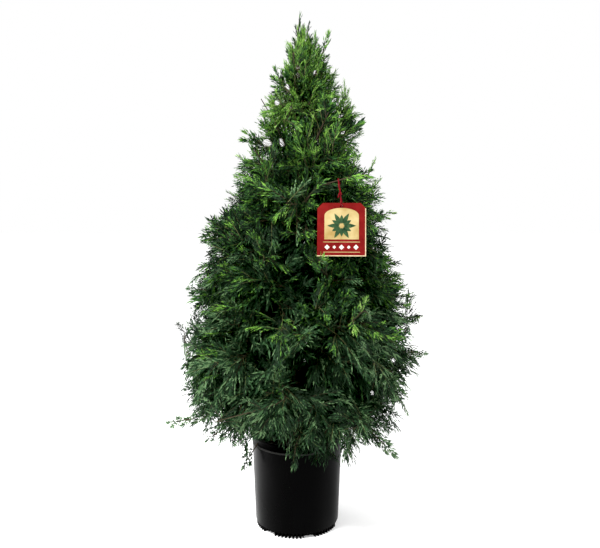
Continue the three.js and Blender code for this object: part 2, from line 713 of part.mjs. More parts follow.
/** The card: chamfered at its top corners, with a hole for the tie. */
function tagSolid() {
  const half = 0.5 * TAG_WIDTH;
  const top = TAG_HOLE_DROP;
  const bottom = TAG_HOLE_DROP - TAG_HEIGHT;
  const outline = new THREE.Shape();
  outline.moveTo(-half, bottom);
  outline.lineTo(half, bottom);
  outline.lineTo(half, top - TAG_CHAMFER);
  outline.lineTo(half - TAG_CHAMFER, top);
  outline.lineTo(TAG_CHAMFER - half, top);
  outline.lineTo(-half, top - TAG_CHAMFER);
  outline.closePath();
  const hole = new THREE.Path();
  hole.absarc(0, 0, TAG_HOLE_RADIUS, 0, 2 * Math.PI, true);
  outline.holes.push(hole);
  const card = new THREE.ExtrudeGeometry(outline, {
    depth: TAG_THICKNESS,
    bevelEnabled: false,
    curveSegments: 8,
  });
  return solidOf(card.translate(0, 0, -0.5 * TAG_THICKNESS).applyMatrix4(tagFrame));
}

/** The tie: one long loop over the hanger twig and through the card's hole. */
function tieSolid() {
  const inner = TIE_BEND - TIE_RADIUS;
  const topMiddle = TIE_TOP.clone().addScaledVector(tieRun, SHOOT_RADIUS + SEAT - inner);
  const lowMiddle = TAG_HOLE.clone().addScaledVector(tieRun, TAG_HOLE_RADIUS - SEAT + inner);
  const half = 0.5 * topMiddle.distanceTo(lowMiddle);
  const ring = new THREE.TorusGeometry(TIE_BEND, TIE_RADIUS, TIE_SIDES, TIE_STEPS);
  const place = ring.getAttribute("position");
  for (let i = 0; i < place.count; i += 1) {
    const height = place.getY(i);
    if (Math.abs(height) > SEAT) place.setY(i, height + Math.sign(height) * half);
  }
  const normal = HANGER_RUN.clone().addScaledVector(tieRun, -HANGER_RUN.dot(tieRun)).normalize();
  const side = new THREE.Vector3().crossVectors(tieRun, normal);
  const frame = new THREE.Matrix4().makeBasis(side, tieRun, normal);
  frame.setPosition(topMiddle.clone().lerp(lowMiddle, 0.5));
  return solidOf(ring.applyMatrix4(frame));
}

addNode("pot", potSolid(), CAN_BLACK);
addNode("potting_mix", soilSolid(), MIX_BROWN);
addNode("trunk", limbAlong(trunkCurve, trunkRadius, TRUNK_SIDES, TRUNK_STEPS), TRUNK_BROWN);

boughs.forEach((limb) => {
  const name = `bough_${String(limb.number - FIRST_BOUGH + 1).padStart(2, "0")}`;
  addNode(name, boughSolid(limb, BOUGH_SHARE, 0).subtract(trunkSpace), BOUGH_BROWN);
});

const shoots = LONG_SHOOTS.map(([x, y, z]) => [new THREE.Vector3(x, y, z)]);
const hangerStart = TIE_TOP.clone().addScaledVector(HANGER_RUN, -HANGER_BEFORE);
const hangerEnd = TIE_TOP.clone().addScaledVector(HANGER_RUN, HANGER_AFTER);
shoots.push([hangerStart, hangerEnd]);

limbs.forEach((limb) => {
  const solids = foliageMass(limb);
  shoots.forEach((points) => {
    if (ownerOf(points[points.length - 1]) === limb) solids.push(...longShoot(limb, points));
  });
  const mass = solids.reduce((sum, solid) => sum.add(solid));
  const name = limb.number === 0 ? "foliage_leader" : `foliage_${String(limb.number).padStart(2, "0")}`;
  addNode(name, mass, LEAF_GREEN);
});

addNode("hang_tag", tagSolid(), CARD_RED);
addNode("tag_tie", tieSolid(), TIE_RED);

export default object;
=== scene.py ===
"""Looks of a young leyland cypress in a black nursery can, with a card tied to a twig. Metres, +Z up."""

import math

import bpy
import numpy as np
from mathutils import Matrix, Vector


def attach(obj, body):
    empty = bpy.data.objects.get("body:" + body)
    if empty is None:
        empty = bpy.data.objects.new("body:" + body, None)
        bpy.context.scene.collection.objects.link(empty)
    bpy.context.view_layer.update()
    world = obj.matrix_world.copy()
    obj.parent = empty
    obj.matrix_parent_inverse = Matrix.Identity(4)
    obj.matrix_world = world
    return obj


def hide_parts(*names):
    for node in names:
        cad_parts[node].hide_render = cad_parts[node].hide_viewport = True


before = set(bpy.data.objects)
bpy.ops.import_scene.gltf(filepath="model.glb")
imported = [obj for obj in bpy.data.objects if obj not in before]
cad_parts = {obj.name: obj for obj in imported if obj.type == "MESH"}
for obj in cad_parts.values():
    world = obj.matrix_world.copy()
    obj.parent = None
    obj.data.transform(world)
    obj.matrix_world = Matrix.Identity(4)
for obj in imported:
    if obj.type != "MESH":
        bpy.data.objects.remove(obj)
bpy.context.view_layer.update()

SEED = 4127
UP = np.array([0.0, 0.0, 1.0])
# A vector times this keeps its level part
LEVEL = np.array([1.0, 1.0, 0.0])
GOLDEN_ANGLE = math.pi * (3 - math.sqrt(5))
GOLDEN_SHARE = 0.618
# Small margins: for a division, for the end of a path and in metres
TINY = 1e-9
PATH_END = 1e-6
HAIR = 0.0002
# Seeded noise: waves in an octave, size of an octave against the one before, size of the whole
OCTAVE_WAVES = 4
OCTAVE_SHARE = 0.5
NOISE_SIZE = 5
# A tube whose direction rises by more than this takes its sides from the x axis
STEEP_TUBE = 0.9
# The part of a noise's values that a surface's roughness follows
NOISE_RANGE = (0.3, 0.7)

# Camera
CAMERA_PLACE = (0.0084, -1.927, 0.916)
CAMERA_PITCH = math.radians(6.5)
CAMERA_LENS = 43.05
CAMERA_SENSOR = 36.0
BLACK_POINT = 0.0025

# Floor and lamps: each lamp's place, the point that it faces, its size and its power
FLOOR_REACH = 14.0
FLOOR_GLOW = 0.23
WHITE = (1, 1, 1, 1)
LAMPS = {
    "key": ((-1.5, -1.7, 2.7), (0, 0, 0.7), (0.3, 0.3), 130),
    "fill": ((1.9, -1.2, 1.9), (0, 0, 0.7), (1.2, 1.2), 12),
    "left": ((-1.8, 0.65, 0.6), (0, 0, 0.2), (2.3, 1.2), 20),
    "right": ((1.85, 0.4, 0.6), (0, 0, 0.2), (1.8, 1.2), 12),
    "low_left": ((-0.62, 0.25, 0.22), (-0.62, 0.2501, 0.0), (0.5, 0.9), 6),
}

# Outline of the foliage
TREE_TOP = 1.376
WIDEST_HEIGHT = 0.430
LOWEST_HEIGHT = 0.182
CROWN_RADIUS = 0.328
CROWN_ROUNDNESS = 1.55
CROWN_TIP_RADIUS = 0.015
SKIRT_INSET = 0.085
SKIRT_ROUNDNESS = 0.7
CROWN_SHIFT = 0.006
# Where the outline's axis wanders to: heights, then places in x
MIDDLE = (
    (0.35, 0.48, 0.61, 0.75, 0.88, 0.96, 1.04, 1.13, 1.25, 1.376),
    (-0.002, 0.015, 0.014, 0.001, 0.008, 0.014, 0.028, 0.036, 0.032, 0.018),
)

# Nursery can
POT_HEIGHT = 0.260
POT_LIP_RADIUS = 0.125
POT_LIP_HEIGHT = 0.006
POT_NECK_RADIUS = 0.1195
POT_SHOULDER_HEIGHT = 0.233
POT_SHOULDER_RADIUS = 0.123
POT_SHOULDER_RISE = 0.003
POT_WALL_FOOT_RADIUS = 0.115
POT_WALL = 0.0024
POT_DRAFT = 0.0008
POT_SIDES = 408
POT_EDGE = 0.0009
# A round takes at most this share of a side of the profile
ROUND_SHARE = 0.45
ROUND_STEPS = 3
# Painted highlight on the upward faces of lip and shoulder, and painted shade, a darker and less glossy grey,
# on the rest above the shoulder
POT_PAINTED_HIGHLIGHT_GREY = (0.046, 0.046, 0.044)
POT_PAINTED_SHADE_GREY = (0.0004, 0.0004, 0.0004)
POT_BLACK, POT_PAINTED_HIGHLIGHT, POT_PAINTED_SHADE = range(3)
FOOT_HEIGHT = 0.014
FOOT_STEP = 0.001
FOOT_RADIUS = 0.1125
FOOT_RIM = 0.004
FOOT_SKIN = 0.003
FOOT_INNER_RADIUS = 0.060
FOOT_FLUTES = 68
FLUTE_DEPTH = 0.0030
ARCH_DEPTH = 0.012
ARCH_HEIGHT = 0.0068
DRAIN_COUNT = 6
DRAIN_TURN = math.radians(-72)
DRAIN_WIDTH = 0.032
DRAIN_HEIGHT = 0.0075
DRAIN_DEPTH = 0.018
FOOT_LEVELS = (0.0, 0.4 * FOOT_HEIGHT, DRAIN_HEIGHT, 0.8 * FOOT_HEIGHT, FOOT_HEIGHT)

# Bark mix in the can
SOIL_EDGE = 0.228
SOIL_MIDDLE = 0.236
SOIL_DEPTH_SHOWN = 0.020
SOIL_FLAT_RADIUS = 0.034
SOIL_ROUNDNESS = 0.8
SOIL_LUMP = 0.0022
SOIL_WAVES = 150
SOIL_CALM_RADIUS = 0.020
SOIL_CALM_BLEND = 0.015
SOIL_FOOT = FOOT_HEIGHT + 0.010
SOIL_RINGS = 40
SOIL_SIDES = 128
SOIL_GAP = 0.0003
CHIP_COUNT = 420
CHIP_SIZE = (0.004, 0.013)
CHIP_REACH = 0.112
CHIP_AREA = (0.06, 1)
CHIP_OUTLINE = np.array([[1, 0.1], [0.55, 0.62], [-0.4, 0.7], [-1, 0.05], [-0.5, -0.6], [0.6, -0.55]])
CHIP_WIDTH = (0.35, 0.8)
CHIP_RAGGED = (0.75, 1.2)
CHIP_THICKNESS = (0.14, 0.3)
CHIP_TAPER = 0.86
CHIP_TILT = 0.35
CHIP_RISE = 0.3
CHIP_SLOT = 1

# Trunk
TRUNK_TOP = 1.292
TRUNK_RADIUS = 0.014
TRUNK_TIP_RADIUS = 0.0024
TRUNK_FLARE = 0.009
TRUNK_FLARE_HEIGHT = 0.030
TRUNK_LOBES = 5
TRUNK_LOBE_DEPTH = 0.3
TRUNK_SWAY = np.array([-0.007, 0.005, 0.0])
TRUNK_LEAN = np.array([0.014, -0.002, 0.0])
TRUNK_SIDES = 36
TRUNK_STEPS = 150
TRUNK_CROWDING = 1.15
SEAT = 0.0003
BARK_RELIEF = 0.05
# Waves of the bark round a limb and along it, for its ridges and its plates
BARK_RIDGES = (9, 90)
BARK_PLATES = (3, 30)
PLATE_SHARE = 0.6

# Limbs: each bears one mass of foliage, which takes the space nearest to a seed point on the limb
LIMB_COUNT = 27
FIRST_BOUGH = 4
FIRST_TURN = 2.05
LOWEST_SEED = 0.292
SEED_SPREAD = 0.66
SEED_SHARE = 0.6
BOUGH_SHARE = 0.36
LIMB_REACH = 0.86
RISE_TOP = math.radians(62)
RISE_BOTTOM = math.radians(-6)
TIP_LIFT = 0.34
LIMB_BOW = 0.1
LEADER_TIP_DROP = 0.025
LIMB_RADIUS_SHARE = 0.6
LIMB_TIP_RADIUS = 0.0012
BOUGH_SIDES = 14
BOUGH_STEPS = 16
BOUGH_LENGTH = 0.3
COLLAR = 0.5
COLLAR_SHARE = 0.05
STEM_SIDES = 6
STEM_STEPS = 10

# Plumes: side branches that carry the sprays, in shells from the outline inwards
# Each shell: share of the outline's radius, number of plumes, sprays on a plume
SHELLS = ((1.0, 440, 9), (0.76, 170, 7), (0.48, 84, 6))
SHELL_TURN = 0.6
SHELL_TWIST = 1.9
LOWEST_PLUME = 0.262
HIGHEST_PLUME = TREE_TOP - 0.02
OUTLINE_STEPS = 400
TIP_CROWDING = 0.05
OUTLINE_WAVES = 0.045
WAVE_SCALES = (3.2, 17)
PLUME_LENGTH = (0.15, 0.24)
PLUME_ROOM = 0.2
PLUME_SHORTENING = 0.35
PLUME_TURN_JITTER = 0.08
PLUME_DEPTHS = (-2.2, 1)
PLUME_INNERMOST = 0.008
PLUME_STEPS = 7
PLUME_SIDES = 3
PLUME_RADIUS = 0.0019
PLUME_TIP_RADIUS = 0.0007
PLUME_JITTER = 0.010
PLUME_BENDS = (0.3, 0.45)
PLUME_FIRST_SPRAY = 0.3
PLUME_LAST_SIDE_SPRAY = 0.97
PLUME_SPRAY_STRAY = 0.6
SPRAY_BEYOND_PLUME = 0.55
SHOOT_RADIUS = 0.0026
SHOOT_TIP_RADIUS = 0.0018
SLIM_SHOOT_FROM = 1.0
# Where plumes may start on a limb, on the trunk below its leader and on the leader
LIMB_FEET = np.linspace(0.22, 0.96, 24)
TRUNK_FEET = 16
LEADER_FEET = np.linspace(0.05, 0.7, 8)
# Heights, then degrees: a plume's rise, and how far it strays from that and to the side
RISE = ((0.20, 0.32, 0.45, 0.62, 0.90, 1.12, 1.376), (-50.0, -32.0, -12.0, 8.0, 40.0, 70.0, 86.0))
RISE_WANDER = ((0.30, 0.75), (25.0, 17.0))
TURN_WANDER = ((0.30, 0.75), (50.0, 33.0))

# Hollows between the tufts: those that the photo shows, as a middle and a radius, then how the rest are dealt
FRONT_HOLLOWS = np.array([
    (0.037, -0.270, 0.500, 0.068), (-0.083, -0.260, 0.550, 0.044), (0.008, -0.220, 0.700, 0.046),
    (0.000, -0.190, 0.790, 0.036), (-0.010, -0.120, 1.060, 0.030), (0.022, -0.080, 1.200, 0.024),
    (0.024, -0.262, 0.345, 0.022), (0.190, -0.170, 0.650, 0.040), (-0.098, -0.235, 0.620, 0.036),
])
OTHER_HOLLOWS = 22
HOLLOW_HEIGHTS = (0.36, 1.08)
HOLLOW_TURNS = (-0.2, 1.2)
HOLLOW_REACH = 0.9
HOLLOW_RADIUS = (0.036, 0.062)
HOLLOW_DEPTH = 1.25
# Gaps that the photo shows through the crown: place beside the trunk, as x and z, and radius
CROWN_GAPS = (
    (0.003, 1.239, 0.006), (0.003, 1.219, 0.006), (0.048, 1.226, 0.006), (-0.023, 1.191, 0.006),
    (-0.052, 1.149, 0.006), (-0.079, 1.046, 0.010), (-0.039, 1.048, 0.008), (0.117, 1.113, 0.006),
    (0.122, 1.072, 0.006), (0.018, 0.786, 0.006), (-0.156, 0.327, 0.005), (-0.142, 0.337, 0.004),
    (-0.148, 0.316, 0.004), (0.207, 0.367, 0.006), (0.263, 0.459, 0.006),
)

# Sprays: flat fans of branchlets with scale leaves
SPRAY_LONGEST = 0.124
SPRAY_SHORTEST = 0.040
SPRAY_END_SHARE = 0.7
LENGTH_SCATTER = (0.72, 1.15)
# Sprays are shorter towards the top: largest and smallest share, where the fall starts and its run
SPRAY_SHARES = (1.1, 0.62)
SPRAY_SHARE_FROM = 0.5
SPRAY_SHARE_RUN = 0.8
SPRAY_SPREAD = math.radians(40)
SPREAD_JITTER = 0.16
SPRAY_ROLL = math.radians(50)
SPRAY_LIFT = math.radians(15)
SPRAY_SAG = 0.16
SAG_SCATTER = (0.3, 1.6)
# How far a plume's plane faces out and up, and how far that strays
FACE_OUT = 0.5
FACE_UP = 0.4
FACE_SWING = 0.8
FACE_JITTER = 0.3
# How far a spray may reach past the outline, and the furthest that any may reach to the front or back
EDGE_REACH = (-0.018, 0.020)
EDGE_ROOM = 0.25
EDGE_LEAST = 0.3
EDGE_ROUNDS = 4
EDGE_SHORTENING = 0.82
DEEPEST = 0.350
SPRAY_AXIS_RADIUS = 0.0008
SPRAY_AXIS_TAPER = 0.35
YOUNG_SHARE = 0.6
TWIG_BROWN, TWIG_YOUNG, TWIG_OLD = range(3)
SPINE = np.array([[0.0, 0.0, 0.0], [0.42, 0.0, 0.0], [0.84, 0.0, 0.0]])
SPRAY_TOP = 1.352
# The ragged lower edge of the crown
LOWEST_TIP = 0.244
LOWEST_TILT = 0.16
LOWEST_BOW = 0.30
LOWEST_RAGGED = 0.020
LOWEST_RIPPLE = 42.0
# Heights, then shares: how slim sprays are, how far they turn upward, how many outer ones are left out
SLIM = ((0.80, 1.15), (1.0, 0.60))
STEEP = ((0.90, 1.10), (0.0, 0.55))
THIN = ((0.45, 0.65), (0.32, 0.0))
# The foliage is joined into this many pieces
PIECE_COUNT = 8

# Spray templates: seed, how many, strands on a side, gap between leaves, leaf width, whether forked
SHORT, LONG, MIDDLING, INNER, STURDY = range(5)
TEMPLATE_KINDS = (
    (0, 6, 6, 0.064, 0.036, True), (20, 6, 7, 0.060, 0.026, True), (50, 4, 6, 0.105, 0.044, False),
    (60, 4, 5, 0.120, 0.140, False), (90, 4, 3, 0.180, 0.095, False),
)
LONG_FROM = 0.095
FINE_LENGTH = 0.055
FINE_FROM = 0.95
FINE_BELOW = 0.46
# Side strands of a template: from where to where they leave its axis, their spread, length, bow and droop
STRAND_FROM = 0.06
STRAND_RANGE = 0.86
STRAND_STAGGER = 0.25
STRAND_SPREAD = (44, 24)
STRAND_JITTER = 0.08
STRAND_BOW = (0.10, 0.42)
STRAND_LIFT = 0.10
STRAND_DROOP = 0.30
FAN_LONGEST = 0.40
FAN_ROUNDNESS = 0.75
FAN_FOOT = 0.16
FAN_FULL = 0.40
FAN_LEAST = 0.055
# Leaves: length in gaps, its scatter, turn from the strand, roll, widest place and fold; then the end leaves
LEAF_LENGTHS = (1.9, 1.4)
LEAF_SCATTER = (0.8, 1.2)
LEAF_FORK = math.radians(17)
LEAF_ROLL = 0.5
LEAF_WAIST = 0.42
LEAF_FOLD = 0.16
STALK_WIDTH = 1.35
END_LEAF = 2.1
END_LEAVES = 7
END_RANGE = (0.66, 0.94)
END_DROOP = -0.05
END_ROLL = 0.4
# Short strands that fork off long ones
FORKED_FROM = 0.24
FORK_RANGE = (0.2, 0.75)
FORK_ANGLE = 0.62
FORK_DROOP = 0.1
FORK_LENGTH = 0.42
FORK_SHORTENING = 0.6
FORK_WIDTH = 1.3
# A leaf's green grows lighter with its reach from the spray's foot, fresher growth at the tips and painted
# shade at the foot, and differs by strand; its steps are the zones
REACH_MIDDLE = 0.58
REACH_SLOPE = 1.0
STRAND_TINT = 0.42
LEAF_TINT = 0.14
ZONE_STEPS = (-0.75, -0.45, -0.15, 0.15, 0.45, 0.75)

# Sprays that stand straight on the limbs' outer parts, and those on the top of the trunk and its leader
LIMB_SPRAYS_FROM = 0.35
LIMB_SPRAYS = 12
LEADER_FROM = 1.10
LEADER_SPRAYS = 46
LEADER_SPRAY_HEIGHTS = (LEADER_FROM + 0.03, SPRAY_TOP - 0.045)
LEADER_SPREAD = (0.62, 0.16)
LEADER_JITTER = 0.1
LEADER_FACE_OUT = 0.6
LEADER_LENGTHS = (0.095, 0.062)
LEADER_SCATTER = (0.85, 1.15)

# Long shoots that stand out of the outline: where each ends, its rise there in degrees, its sprays' length
LONG_SHOOTS = np.array([
    (0.008, 0.002, 1.374, 84, 0.034), (0.033, 0.008, 1.364, 82, 0.036), (0.080, -0.006, 1.329, 76, 0.046),
    (-0.050, 0.010, 1.246, 76, 0.046), (-0.366, 0.014, 0.284, 2, 0.030), (0.352, -0.020, 0.482, -4, 0.030),
    (0.258, -0.040, 0.872, 24, 0.034), (0.268, -0.070, 0.212, -42, 0.046),
    (-0.150, -0.084, 0.190, -40, 0.034), (-0.298, -0.030, 0.664, 8, 0.034),
    (0.020, -0.300, 0.640, 10, 0.046), (-0.020, 0.318, 0.520, 0, 0.046),
    (-0.252, -0.050, 0.250, -24, 0.026), (0.203, -0.020, 0.985, 35, 0.046),
    (-0.130, -0.020, 1.085, 52, 0.046), (0.062, -0.270, 0.782, 38, 0.036),
    (-0.006, -0.196, 0.226, -62, 0.036),
])
SHOOT_SPRAYS = 10
SHOOT_SPREAD = 0.40
SHOOT_LENGTH = 0.2
SHOOT_FIRST_SPRAY = 0.5
SHOOT_JITTER = 0.2
SHOOT_FACE = (0.5, 0.85)
SHOOT_SCATTER = (0.8, 1.1)

# Greens of the sprays: from the painted shade of the inside to the freshest tips, and the bluer ones of the
# lower half, painted shade whose palest greyish step is a painted sheen on lit strands
GREENS = {
    "green_inside": (0.010, 0.022, 0.010),
    "green_deep": (0.017, 0.044, 0.018),
    "green_mid": (0.036, 0.099, 0.026),
    "green_fresh": (0.075, 0.184, 0.028),
    "green_light": (0.142, 0.298, 0.044),
    "green_lime": (0.230, 0.372, 0.092),
    "green_shade": (0.023, 0.060, 0.024),
    "green_blue": (0.046, 0.104, 0.041),
    "green_silver": (0.108, 0.190, 0.084),
}
WARM_LADDER = np.array([0, 1, 2, 3, 4, 5])
COOL_LADDER = np.array([0, 1, 6, 7, 8, 8])
GREEN_STEPS = (0.32, 0.64, 1.00, 1.36, 1.80)
ZONE_OFFSETS = (-0.90, -0.60, -0.30, 0.0, 0.30, 0.60, 0.90)
# How much fresher and lighter the sprays are, partly fresher growth at the top and partly painted light
# there, with painted shade low down: heights, then steps
FRESHNESS_AND_PAINTED_LIGHT_BY_HEIGHT = (
    (0.22, 0.34, 0.50, 0.68, 0.80, 0.92, 1.03, 1.12, 1.27, 1.376),
    (-0.60, -0.38, -0.18, -0.16, -0.24, -0.08, 0.40, 0.66, 0.84, 0.92),
)
# How a spray's green rises towards the outline, with painted shade deeper in and fresher growth outside, and
# what it gains or loses by chance, at a plume's end, by shell, where the inner shells' loss is painted shade,
# and on a long shoot
FRESHNESS_AND_PAINTED_SHADE_POWER = 4
FRESH_CHANCE = 0.18
FRESH_END = 0.12
SHELL_PAINTED_SHADE = 0.33
FRESH_SHOOT = 0.3
OUTERMOST = 1.1
LEAST_ROOM = 0.02
COOL_HEIGHT = 0.66
COOL_BLEND = 0.3
COOL_SPREAD = 0.5
COOL_RANGE = 1.9
WARM_RANGE = 1.2
LEAF_ROUGHNESS = 0.45
LEAF_SPECULAR = 0.07

# Card, its tie and the twig that it hangs from
TAG_WIDTH = 0.115
TAG_HEIGHT = 0.127
TAG_CHAMFER = 0.013
TAG_THICKNESS = 0.0008
TAG_HOLE_RADIUS = 0.004
TAG_HOLE_DROP = 0.008
TAG_HOLE = Vector((0.107, -0.224, 0.883))
TAG_LEAN = math.radians(12)
TAG_TURN = math.radians(-3)
TAG_SIDE_STEPS = 8
TIE_TOP = Vector((0.100, -0.210, 0.944))
TIE_RADIUS = 0.0011
TIE_SIDES = 8
TIE_STEPS = 97
TIE_TWIST = 0.14
TIE_TWISTS = 60
# The loop: how far it goes past hole and twig, its half width, its waist at the knot, its waver
LOOP_PAST = (-0.0028, 0.0034)
LOOP_WIDTH = 0.0046
LOOP_WAIST = 0.22
LOOP_WAVER = 0.0007
LOOP_WAVES = 9
# The knot, a trefoil: its share along the tie, its radius, the depth of its three lobes and its height
KNOT_AT = 0.48
KNOT_STEPS = 60
KNOT_RADIUS = 0.0023
KNOT_LOBES = 0.0011
KNOT_HEIGHT = 0.0022
# The two loose ends: start and run to the side, drop, curve and step forward
END_SIDE = (0.002, 0.0075)
END_DROP = 0.0105
END_CURVE = 1.6
END_FORWARD = -0.003
END_STEPS = 12
HANGER_RUN = Vector((0.87, -0.42, 0.24)).normalized()
HANGER_BEFORE = 0.046
HANGER_AFTER = 0.030
HANGER_BEND = 0.4
HANGER_SPRAY = 0.050
# Sprays on that twig: share along it and spread
HANGER_SPRAYS = ((0.15, -0.7), (0.3, 0.7), (0.42, -0.7), (0.55, 0.7), (0.9, 0.6), (0.94, -0.6), (1.0, 0.0))

# Print on the card: heights from its lower edge, insets from its sides
PRINT_RISE = 0.00012
PANEL_LOW = 0.040
PANEL_DROP = 0.030
PANEL_INSET = 0.017
PANEL_ARCH = 0.018
PANEL_STEPS = 19
ROSETTE_LEAVES = 12
ROSETTE_LIFT = 0.004
ROSETTE_HOLE = 0.005
ROSETTE_LENGTHS = (0.034, 0.026)
ROSETTE_WIDTH = 0.0052
ROSETTE_STEPS = (0.35, 0.6, 0.85)
RULES = (0.033, 0.009)
RULE_INSET = 0.014
RULE_WIDTH = 0.0016
DIAMONDS = range(-2, 3)
DIAMOND_GAP = 0.017
DIAMOND_HEIGHT = 0.0215
DIAMOND_SIZES = (0.0062, 0.0042)
BARE_EDGE = 0.0022
CARD_RED, CARD_GOLD, CARD_GREEN, CARD_CREAM, CARD_EDGE = range(5)

# Room kept clear for the card, the tie and the part of the can's rim that shows
TAG_ROOM_SIDE = 0.5 * TAG_WIDTH + 0.003
TAG_ROOM_TOP = TAG_HOLE_DROP + 0.004
TAG_ROOM_LOW = TAG_HOLE_DROP - TAG_HEIGHT - 0.003
TAG_ROOM_BACK = -0.004
TAG_CORNER_CUT = 0.052
TAG_CORNER_FRONT = 0.003
TIE_ROOM_MIDDLE = 0.5 * (TAG_HOLE.x + TIE_TOP.x)
TIE_ROOM_SIDE = 0.010
TIE_ROOM_LOW = TAG_HOLE.z - 0.01
TIE_ROOM_TOP = TIE_TOP.z + 0.002
TIE_ROOM_BACK = TAG_HOLE.y + 0.012
POT_ROOM = 0.002
RIM_WINDOW = (-0.118, -0.046)
RIM_WINDOW_FRONT = -0.05
RIM_WINDOW_LOW = 0.225
RIM_WINDOW_SLOPE = 0.37

random = np.random.default_rng(SEED)


# Small helpers

def unit(vectors):
    """Vectors along the last axis, made one long."""
    return vectors / np.maximum(np.linalg.norm(vectors, axis=-1, keepdims=True), TINY)


def mix(start, end, share):
    """A value between two others."""
    return start + (end - start) * share


def square_to(face, run):
    """Facing directions, turned square to the directions that run along."""
    return unit(face - run * np.sum(face * run, axis=-1, keepdims=True))


def turned(ahead, aside, angle):
    """Directions turned by an angle from one direction towards another."""
    angle = np.asarray(angle)[..., None]
    return ahead * np.cos(angle) + aside * np.sin(angle)


def even_turns(count):
    """Angles that share out a full turn."""
    return np.arange(count) * 2 * math.pi / count


def even_shares(count):
    """Middles of equal steps from 0 to 1."""
    return (np.arange(count) + 0.5) / count


def level_ways(turns):
    """Level directions at angles."""
    return np.stack([np.cos(turns), np.sin(turns), np.zeros(len(turns))], axis=-1)


def revolved(radius, height, turns):
    """Points at a radius and a height round the upright axis."""
    return np.stack([radius * np.cos(turns), radius * np.sin(turns), height], axis=-1)


def bezier(points, shares):
    """Points of Bezier curves: (..., order, 3) and (steps,) give (..., steps, 3)."""
    order = points.shape[-2] - 1
    total = 0.0
    for k in range(order + 1):
        weight = math.comb(order, k) * shares ** k * (1 - shares) ** (order - k)
        total = total + weight[:, None] * points[..., k, None, :]
    return total


def crown_radius(height):
    """Radius of the foliage's outline at a height."""
    height = np.asarray(height, dtype=float)
    above = np.clip((height - WIDEST_HEIGHT) / (TREE_TOP - WIDEST_HEIGHT), 0, 1)
    below = np.clip((WIDEST_HEIGHT - height) / (WIDEST_HEIGHT - LOWEST_HEIGHT), 0, 1)
    upper = CROWN_RADIUS * (1 - above ** CROWN_ROUNDNESS) + CROWN_TIP_RADIUS * above
    lower = CROWN_RADIUS - SKIRT_INSET * below ** SKIRT_ROUNDNESS
    return np.where(height >= WIDEST_HEIGHT, upper, lower)


def crown_middle(height):
    """Where the outline's axis is at a height, in x."""
    return np.interp(height, *MIDDLE)


def axis_distance(points):
    """How far points are from the outline's axis."""
    return np.hypot(points[:, 0] - crown_middle(points[:, 2]), points[:, 1])


def ripple(x, y, seed, octaves=3):
    """Smooth seeded noise between about -1 and 1, from a few sine waves at odd angles."""
    waves = np.random.default_rng(seed)
    total = np.zeros(np.broadcast(x, y).shape)
    size = 1.0
    for octave in range(octaves):
        for _ in range(OCTAVE_WAVES):
            turn = waves.uniform(0, 2 * math.pi)
            phase = waves.uniform(0, 2 * math.pi)
            total += size * np.sin((2 ** octave) * (x * math.cos(turn) + y * math.sin(turn)) + phase)
        size *= OCTAVE_SHARE
    return total / NOISE_SIZE


class Shape:
    """Corners and faces that are gathered and made into one mesh object."""

    def __init__(self):
        self.corners = []
        self.loops = []
        self.sizes = []
        self.slots = []
        self.count = 0

    def add(self, corners, faces, slot=0):
        """faces is (number, corners of a face); slot is one material index or one for each face."""
        corners = np.asarray(corners, dtype=np.float64).reshape(-1, 3)
        faces = np.asarray(faces, dtype=np.int64)
        self.corners.append(corners)
        self.loops.append((faces + self.count).ravel())
        self.sizes.append(np.full(len(faces), faces.shape[1], dtype=np.int64))
        self.slots.append(np.broadcast_to(np.asarray(slot, dtype=np.int64), (len(faces),)))
        self.count += len(corners)

    def make(self, name, materials, smooth_angle=None):
        """The mesh object, riding on the part's one body, flat or smoothed up to an angle in degrees."""
        sizes = np.concatenate(self.sizes)
        used, loops = np.unique(np.concatenate(self.loops), return_inverse=True)
        corners = np.concatenate(self.corners)[used]
        mesh = bpy.data.meshes.new(name)
        mesh.vertices.add(len(corners))
        mesh.vertices.foreach_set("co", corners.astype(np.float32).ravel())
        mesh.loops.add(len(loops))
        mesh.loops.foreach_set("vertex_index", loops.astype(np.int32))
        mesh.polygons.add(len(sizes))
        mesh.polygons.foreach_set("loop_start", (np.cumsum(sizes) - sizes).astype(np.int32))
        for material in materials:
            mesh.materials.append(material)
        mesh.polygons.foreach_set("material_index", np.concatenate(self.slots).astype(np.int32))
        mesh.polygons.foreach_set("use_smooth", np.full(len(sizes), smooth_angle is not None))
        mesh.update(calc_edges=True)
        mesh.validate()
        if smooth_angle is not None:
            mesh.set_sharp_from_angle(angle=math.radians(smooth_angle))
        piece = bpy.data.objects.new(name, mesh)
        bpy.context.scene.collection.objects.link(piece)
        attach(piece, "root")
        return piece


def grid_faces(rows, columns):
    """Four-cornered faces of a grid whose columns close on themselves."""
    row, column = np.meshgrid(np.arange(rows - 1) * columns, np.arange(columns), indexing="ij")
    after = (column + 1) % columns
    above = row + columns
    return np.stack([row + column, row + after, above + after, above + column], axis=-1).reshape(-1, 4)


def tubes(paths, radii, sides):
    """Corners and faces of tubes along paths (number, steps, 3); radii fit (number, steps, sides)."""
    tangents = unit(np.gradient(paths, axis=1))
    level = np.abs(tangents[..., 2:3]) < STEEP_TUBE
    helper = np.where(level, UP, np.array([1.0, 0.0, 0.0]))
    side = unit(np.cross(tangents, helper))
    other = np.cross(side, tangents)
    ring = turned(side[:, :, None, :], other[:, :, None, :], even_turns(sides))
    corners = paths[:, :, None, :] + ring * np.broadcast_to(radii, ring.shape[:-1])[..., None]
    number, steps = paths.shape[:2]
    faces = grid_faces(steps, sides)[None] + (np.arange(number) * steps * sides)[:, None, None]
    return corners.reshape(-1, 3), faces.reshape(-1, 4)


# Materials

